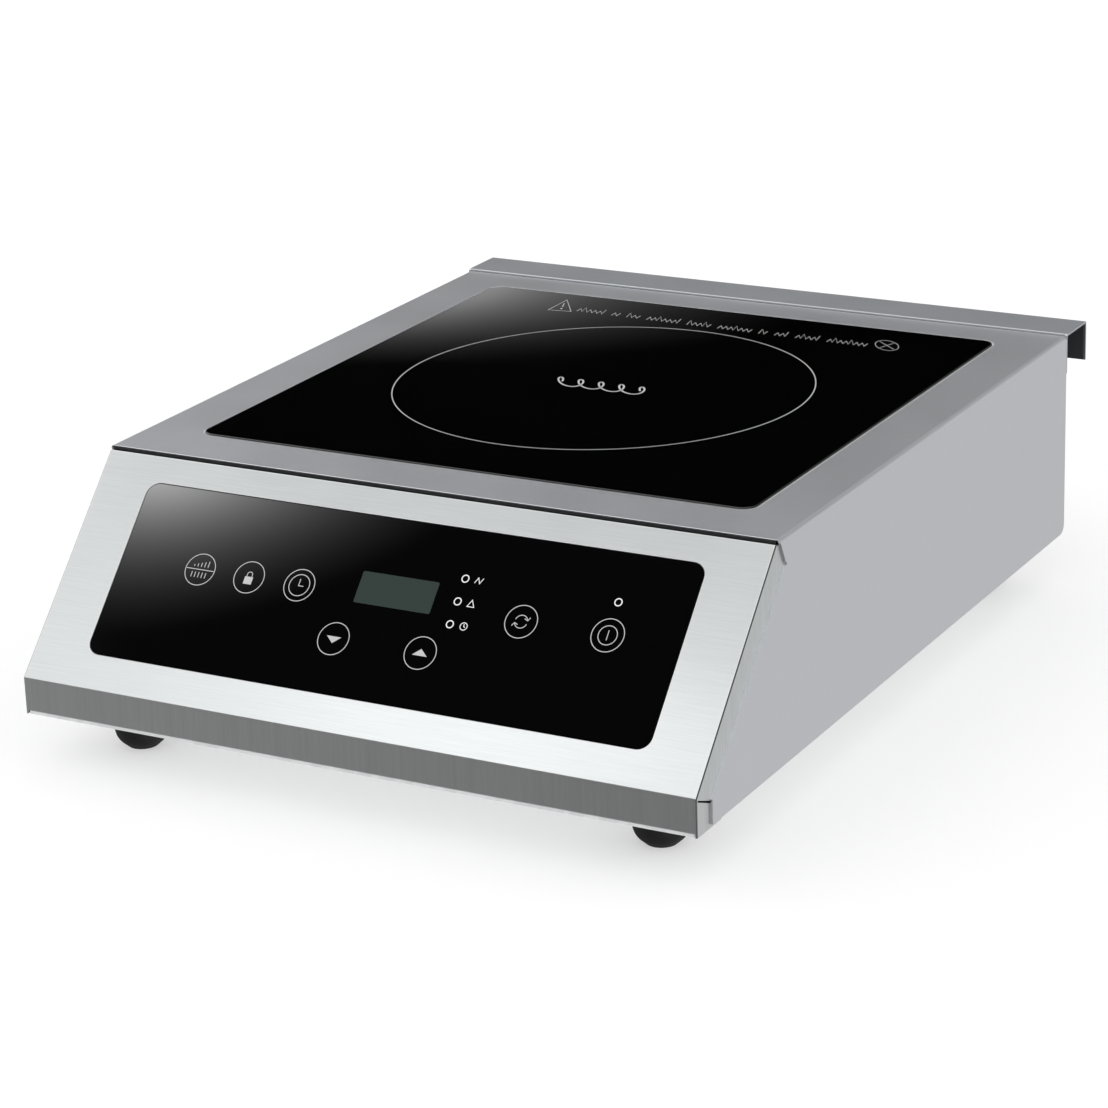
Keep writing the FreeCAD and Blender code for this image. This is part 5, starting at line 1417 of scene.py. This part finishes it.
@dataclass
class MainsInlet:
    """The cable gland in the rear wall, with the terminals and the earth stud behind it.

    Attributes:
        across: The gland's distance from the hob's middle in mm.
        height: Its height in mm.
        wall: The rear wall's outer face in mm.
        flats: The hexagon's width across its flats in mm.
        flange: The hexagon's thickness in mm.
        bore: The radius of the lead's passage in mm.
        tail_length: How far the gland goes in through the wall and out from it, in mm.
    """

    across: float = 130.0
    height: float = 48.5
    wall: float = 193.0
    flats: float = 24.0
    flange: float = 6.0
    bore: float = 4.5
    tail_length: tuple[float, float] = (10.0, 19.0)

    def gland_shells(self, place: Place) -> list[Shell]:
        """The gland's hexagon, ribbed dome and threaded tail.

        The hexagon's radius is half the width across flats over the cosine of the turn from the nearest flat's
        middle, cut off by the chamfer's circle. A rib stands out where the cosine of 20 turns is high, and the
        ribs fade out as the dome narrows.

        Args:
            place: The gland's axis at the wall's outer face, pointing backwards.

        Returns:
            The three shells, each round the open bore.
        """
        inner, thick, half = self.bore, self.flange, self.flats / 2
        inward, end = self.tail_length
        turn = np.linspace(0, 2 * np.pi, 96, endpoint=False)
        corner = half / np.cos(np.mod(turn, np.pi / 3) - np.pi / 6)
        eased = np.minimum(corner, half * 1.1) * 0.97
        front, back = 0.1 * thick, 0.85 * thick
        flange = [(inner, 0), (eased, 0), (corner, front), (corner, back), (eased, thick), (inner, thick)]

        neck, shoulder, narrowing, mouth, lip, gap = 10.2, 10.9, 3.3, 6.9, 6.6, 0.2
        rib = 0.45 * np.clip(np.cos(20 * turn) * 1.6, -1, 1) - 0.45
        seat, recess = thick - 0.5, end - 1.2
        rise = np.linspace(0, 1, 10)
        bulge = [shoulder - narrowing * gone**3.2 + rib * (1 - gone**4) for gone in rise]
        climb = thick + gap + (end - thick - gap) * rise
        dome = [(inner, seat), (neck, seat), *zip(bulge, climb), (mouth, end), (lip, recess), (inner, recess)]

        pitch_radius, ridge, root, step, start = 8.8, 0.18, 8.2, 0.375, 0.5
        count = np.arange(len(np.arange(0, inward, step)))
        thread = pitch_radius + ridge * np.where(count % 4 < 2, 1, -1)
        tail = [(inner, start), *zip(thread, start - count * step), (root, -inward), (inner, -inward)]
        return [turned(place, profile, len(turn), True) for profile in (flange, dome, tail)]

    def seal_shell(self, place: Place) -> Shell:
        """The rubber ring in the dome's mouth that grips a lead.

        Args:
            place: The gland's axis.

        Returns:
            The ring's shell.
        """
        end = self.tail_length[1] - 1.1
        inside = [(4.5, end - 3), (4.4, end - 0.6), (4.8, end)]
        outside = [(6.4, end), (6.6, end - 0.4), (6.6, end - 3)]
        return turned(place, inside + outside, 64, True)

    def build(self) -> None:
        """Makes the gland and dresses what is behind it."""
        place = REARWARD.moved(-self.across, self.height, self.wall)
        shells = self.gland_shells(place)
        make_piece("ribbed_gland", shells, BLACK_NYLON, stands_for=["cable_gland"])
        make_piece("gland_seal_ring", [self.seal_shell(place)], FOOT_RUBBER)
        dress(BLACK_NYLON, "gland_nut")
        dress(WHITE_NYLON, "terminal_block")
        dress(TURNED_BRASS, "earth_stud")


# -------------------------------------------------------------------------------- the studio


@dataclass(frozen=True)
class Patch:
    """A soft patch of the surroundings that metal and glass mirror.

    Attributes:
        way: The direction to its middle.
        full: The angle from its middle, in degrees, inside which it is at its full strength.
        faded: The angle at which it has faded out.
        light: How much it adds, or for a shade, what share of the light it leaves.
    """

    way: tuple[float, float, float]
    full: float
    faded: float
    light: float


@dataclass(frozen=True)
class Glow:
    """A light above one flat face that only its own piece mirrors, so that its gloss fades from one place.

    The light is a sheet parallel to the face. The line from the camera to a point P of the face goes on,
    mirrored, to the sheet at P + lift (P - C) / h, where C is the camera's foot on the face's plane and h its
    distance from it.

    Attributes:
        node: The piece.
        face: Where its face is.
        bright: The brightest place, across and up, in mm.
        low: The face's left lower corner, across and up, in mm.
        high: The face's right upper corner, across and up, in mm.
        peak: The light at the brightest place.
        reach: How far the light reaches, across and up, in mm.
        shape: The powers with which it falls, across and up.
        cut: What is taken off the light everywhere, so that it ends.
        lift: The sheet's height above the face in mm.
    """

    node: str
    face: Place
    bright: tuple[float, float]
    low: tuple[float, float]
    high: tuple[float, float]
    peak: float
    reach: tuple[float, float]
    shape: tuple[float, float]
    cut: float = 0.0
    lift: float = 500.0

    def sheet(self, camera: Array) -> tuple[Array, Array]:
        """Works out the sheet's points, and the light at each.

        The light is peak times e to minus (distance from the brightest place / reach) to a power, across times
        up, less the cut. It fades out at the sheet's rim.

        Args:
            camera: Where the camera is, in mm.

        Returns:
            A grid of points in metres, and a grid of light.
        """
        count, beyond, rim_width = 72, 0.35, 20.0
        low, high = np.asarray(self.low), np.asarray(self.high)
        across, up = np.linspace(low - beyond * (high - low), high + beyond * (high - low), count).T
        x, y = np.meshgrid(across, up, indexing="ij")
        seen = self.face.axes() @ (camera - np.asarray(self.face.origin))
        points = np.stack([x, y], axis=-1)
        points = points + self.lift * (points - seen[:2]) / seen[2]
        grid = self.face.put(np.concatenate([points, np.full((count, count, 1), self.lift)], axis=-1))
        fall_across = (np.abs(x - self.bright[0]) / self.reach[0]) ** self.shape[0]
        fall_up = (np.abs(y - self.bright[1]) / self.reach[1]) ** self.shape[1]
        inside = np.minimum.reduce([x - x.min(), x.max() - x, y - y.min(), y.max() - y])
        rim = np.clip(inside / rim_width, 0, 1)
        return grid, np.maximum(self.peak * np.exp(-fall_across - fall_up) - self.cut, 0) * rim


@dataclass
class Studio:
    """A pale floor, soft surroundings, the lights over the glasses and the slope, and the camera.

    Attributes:
        camera: Where the camera is, in metres.
        right: The direction to the right of its view.
        down: The direction down its view.
        lens: Its focal length in mm on a 36 mm frame.
        floor: Half of the floor's width in metres.
        ambient: The light that matt surfaces get from everywhere.
        backdrop: The brightness of what is seen behind the floor.
        base: The light that metal and glass mirror where there is no patch.
        patches: Bright patches.
        shades: Dark patches.
    """

    camera: tuple[float, float, float] = (0.7779, -1.4243, 0.6219)
    right: tuple[float, float, float] = (0.8784, 0.4769, -0.0319)
    down: tuple[float, float, float] = (0.1317, -0.3057, -0.9430)
    lens: float = 116.96
    floor: float = 12.0
    ambient: float = 1.3
    backdrop: float = 1.0
    base: float = 0.35
    patches: tuple[Patch, ...] = (
        Patch((-0.3, -0.25, 0.92), 30, 75, 1.38),
        Patch((-0.75, 0.42, 0.6), 8, 42, 0.9),
        Patch((0.46, 0.82, -0.33), 25, 60, 0.5),
        Patch((-0.75, -0.55, -0.36), 5, 35, 0.15),
        Patch((0.84, -0.49, -0.3), 6, 24, 2.2),
    )
    shades: tuple[Patch, ...] = (
        Patch((-0.46, 0.82, 0.33), 9.5, 14, 0.005),
        Patch((-0.46, -0.39, 0.80), 7, 11, 0.02),
        Patch((-0.49, -0.87, 0.16), 9, 22, 0.08),
        Patch((-0.2, -0.9, -0.4), 5, 35, 0.6),
        Patch((-0.46, 0.82, -0.33), 22, 42, 0.05),
    )
    glows: tuple[Glow, ...] = (
        Glow(
            "ceramic_glass", DECK.moved(0, 0, CookingPlate.top),
            bright=(-142, 171), low=(-142, -109), high=(142, 171),
            peak=1.12, reach=(43, 80), shape=(1, 2), cut=0.02,
        ),
        Glow(
            "control_glass", SLOPE.moved(0, 0, TouchPanel.proud),
            bright=(-141, 102), low=(-141, 17), high=(141, 102),
            peak=8.6, reach=(59, 23), shape=(1.5, 1.2), cut=0.13,
        ),
        Glow(
            "front_panel", SLOPE,
            bright=(60, 5), low=(-169, 0), high=(169, 117),
            peak=0.86, reach=(170, 50), shape=(2, 2), lift=120.0,
        ),
    )

    def build_camera(self) -> None:
        """Puts the camera at its place, with right, up and back as the columns of its matrix."""
        data = bpy.data.cameras.new("camera")
        data.lens, data.sensor_width = self.lens, 36.0
        data.clip_start, data.clip_end = 0.05, 50.0
        eye = bpy.data.objects.new("camera", data)
        bpy.context.scene.collection.objects.link(eye)
        right, up = Vector(self.right).normalized(), -Vector(self.down).normalized()
        back = right.cross(up).normalized()
        up = back.cross(right)
        eye.matrix_world = Matrix.Translation(self.camera) @ Matrix((right, up, back)).transposed().to_4x4()
        bpy.context.scene.camera = eye

    def build_floor(self) -> None:
        """Lays the floor: a matt pale sheet that metal and glass don't mirror."""
        corners = [(x * self.floor, y * self.floor, 0) for x, y in ((-1, -1), (1, -1), (1, 1), (-1, 1))]
        mesh = bpy.data.meshes.new("floor")
        mesh.from_pydata(corners, [], [(0, 1, 2, 3)])
        mesh.materials.append(FLOOR_PAPER.material())
        floor = bpy.data.objects.new("floor", mesh)
        floor.visible_glossy = False
        bpy.context.scene.collection.objects.link(floor)

    def lit_by(self, tree: bpy.types.NodeTree, way: Any, patch: Patch, away: float, near: float) -> Any:
        """The socket that goes from one value away from a patch to another at its middle.

        Args:
            tree: The surroundings' nodes.
            way: The socket that gives the direction looked at.
            patch: The patch.
            away: The value outside the patch.
            near: The value at its middle.

        Returns:
            The socket.
        """
        settings = {"operation": "DOT_PRODUCT", 1: tuple(Vector(patch.way).normalized())}
        toward = add_node(tree, "ShaderNodeVectorMath", settings, {0: way}).outputs["Value"]
        faded, full = (float(np.cos(np.radians(angle))) for angle in (patch.faded, patch.full))
        settings = {"From Min": faded, "From Max": full, "To Min": away, "To Max": near}
        settings["interpolation_type"] = "SMOOTHSTEP"
        return add_node(tree, "ShaderNodeMapRange", settings, {"Value": toward}).outputs["Result"]

    def build_surroundings(self) -> None:
        """Makes the surroundings: even light for matt surfaces, patches for shiny ones, plain to the eye."""
        world = bpy.data.worlds.new("soft_studio")
        world.use_nodes = True
        world.cycles.sampling_method = "NONE"
        bpy.context.scene.world = world
        tree = world.node_tree
        tree.nodes.clear()
        way = add_node(tree, "ShaderNodeTexCoord", {}, {}).outputs["Generated"]
        light = add_node(tree, "ShaderNodeValue", {}, {}).outputs[0]
        light.default_value = self.base
        for patch in self.patches:
            more = self.lit_by(tree, way, patch, 0.0, patch.light)
            light = add_node(tree, "ShaderNodeMath", {"operation": "ADD"}, {0: light, 1: more}).outputs[0]
        for shade in self.shades:
            left = self.lit_by(tree, way, shade, 1.0, shade.light)
            light = add_node(tree, "ShaderNodeMath", {"operation": "MULTIPLY"}, {0: light, 1: left}).outputs[0]
        ray = add_node(tree, "ShaderNodeLightPath", {}, {})
        for kind, value in (("Is Diffuse Ray", self.ambient), ("Is Camera Ray", self.backdrop)):
            links = {0: ray.outputs[kind], 2: light}
            light = add_node(tree, "ShaderNodeMix", {"data_type": "FLOAT", 3: value}, links).outputs[0]
        shine = add_node(tree, "ShaderNodeBackground", {}, {"Strength": light})
        add_node(tree, "ShaderNodeOutputWorld", {}, {"Surface": shine.outputs["Background"]})

    def build_glow(self, glow: Glow) -> None:
        """Hangs the light sheet that one piece mirrors. It lets every other ray through.

        Args:
            glow: The sheet's sizes.
        """
        grid, light = glow.sheet(np.asarray(self.camera) / MM)
        quads, _ = Shell(grid, columns_meet=False).quads()
        name = f"glow_over_{glow.node}"
        mesh = bpy.data.meshes.new(name)
        mesh.from_pydata(grid.reshape(-1, 3).tolist(), [], quads.tolist())
        mesh.attributes.new("glow", "FLOAT", "POINT").data.foreach_set("value", light.ravel())
        lamp = bpy.data.materials.new("light sheet")
        lamp.use_nodes = True
        lamp.cycles.emission_sampling = "NONE"
        tree = lamp.node_tree
        tree.nodes.clear()
        strength = add_node(tree, "ShaderNodeAttribute", {"attribute_name": "glow"}, {}).outputs["Fac"]
        shine = add_node(tree, "ShaderNodeEmission", {}, {"Strength": strength}).outputs["Emission"]
        clear = add_node(tree, "ShaderNodeBsdfTransparent", {}, {}).outputs["BSDF"]
        both = add_node(tree, "ShaderNodeAddShader", {}, {0: shine, 1: clear}).outputs["Shader"]
        add_node(tree, "ShaderNodeOutputMaterial", {}, {"Surface": both})
        mesh.materials.append(lamp)
        sheet = bpy.data.objects.new(name, mesh)
        for ray in ("camera", "diffuse", "shadow", "transmission"):
            setattr(sheet, f"visible_{ray}", False)
        bpy.context.scene.collection.objects.link(sheet)
        only = bpy.data.collections.new(f"mirrors_{name}")
        only.objects.link(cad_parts[glow.node])
        sheet.light_linking.receiver_collection = only

    def build(self) -> None:
        """Sets up the whole studio."""
        bpy.context.scene.view_settings.view_transform = "Standard"
        self.build_camera()
        self.build_floor()
        self.build_surroundings()
        for glow in self.glows:
            self.build_glow(glow)


def main() -> None:
    """Builds the studio and the hob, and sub-assembly by sub-assembly."""
    logging.basicConfig(level=logging.INFO, format="%(name)s: %(message)s", stream=sys.stdout)
    for kind in (Studio, Case, CookingPlate, TouchPanel, CoilUnit, PowerUnit, FanPair, MainsInlet):
        LOG.info("building %s", kind.__name__)
        kind().build()


if __name__ == "__main__":
    main()
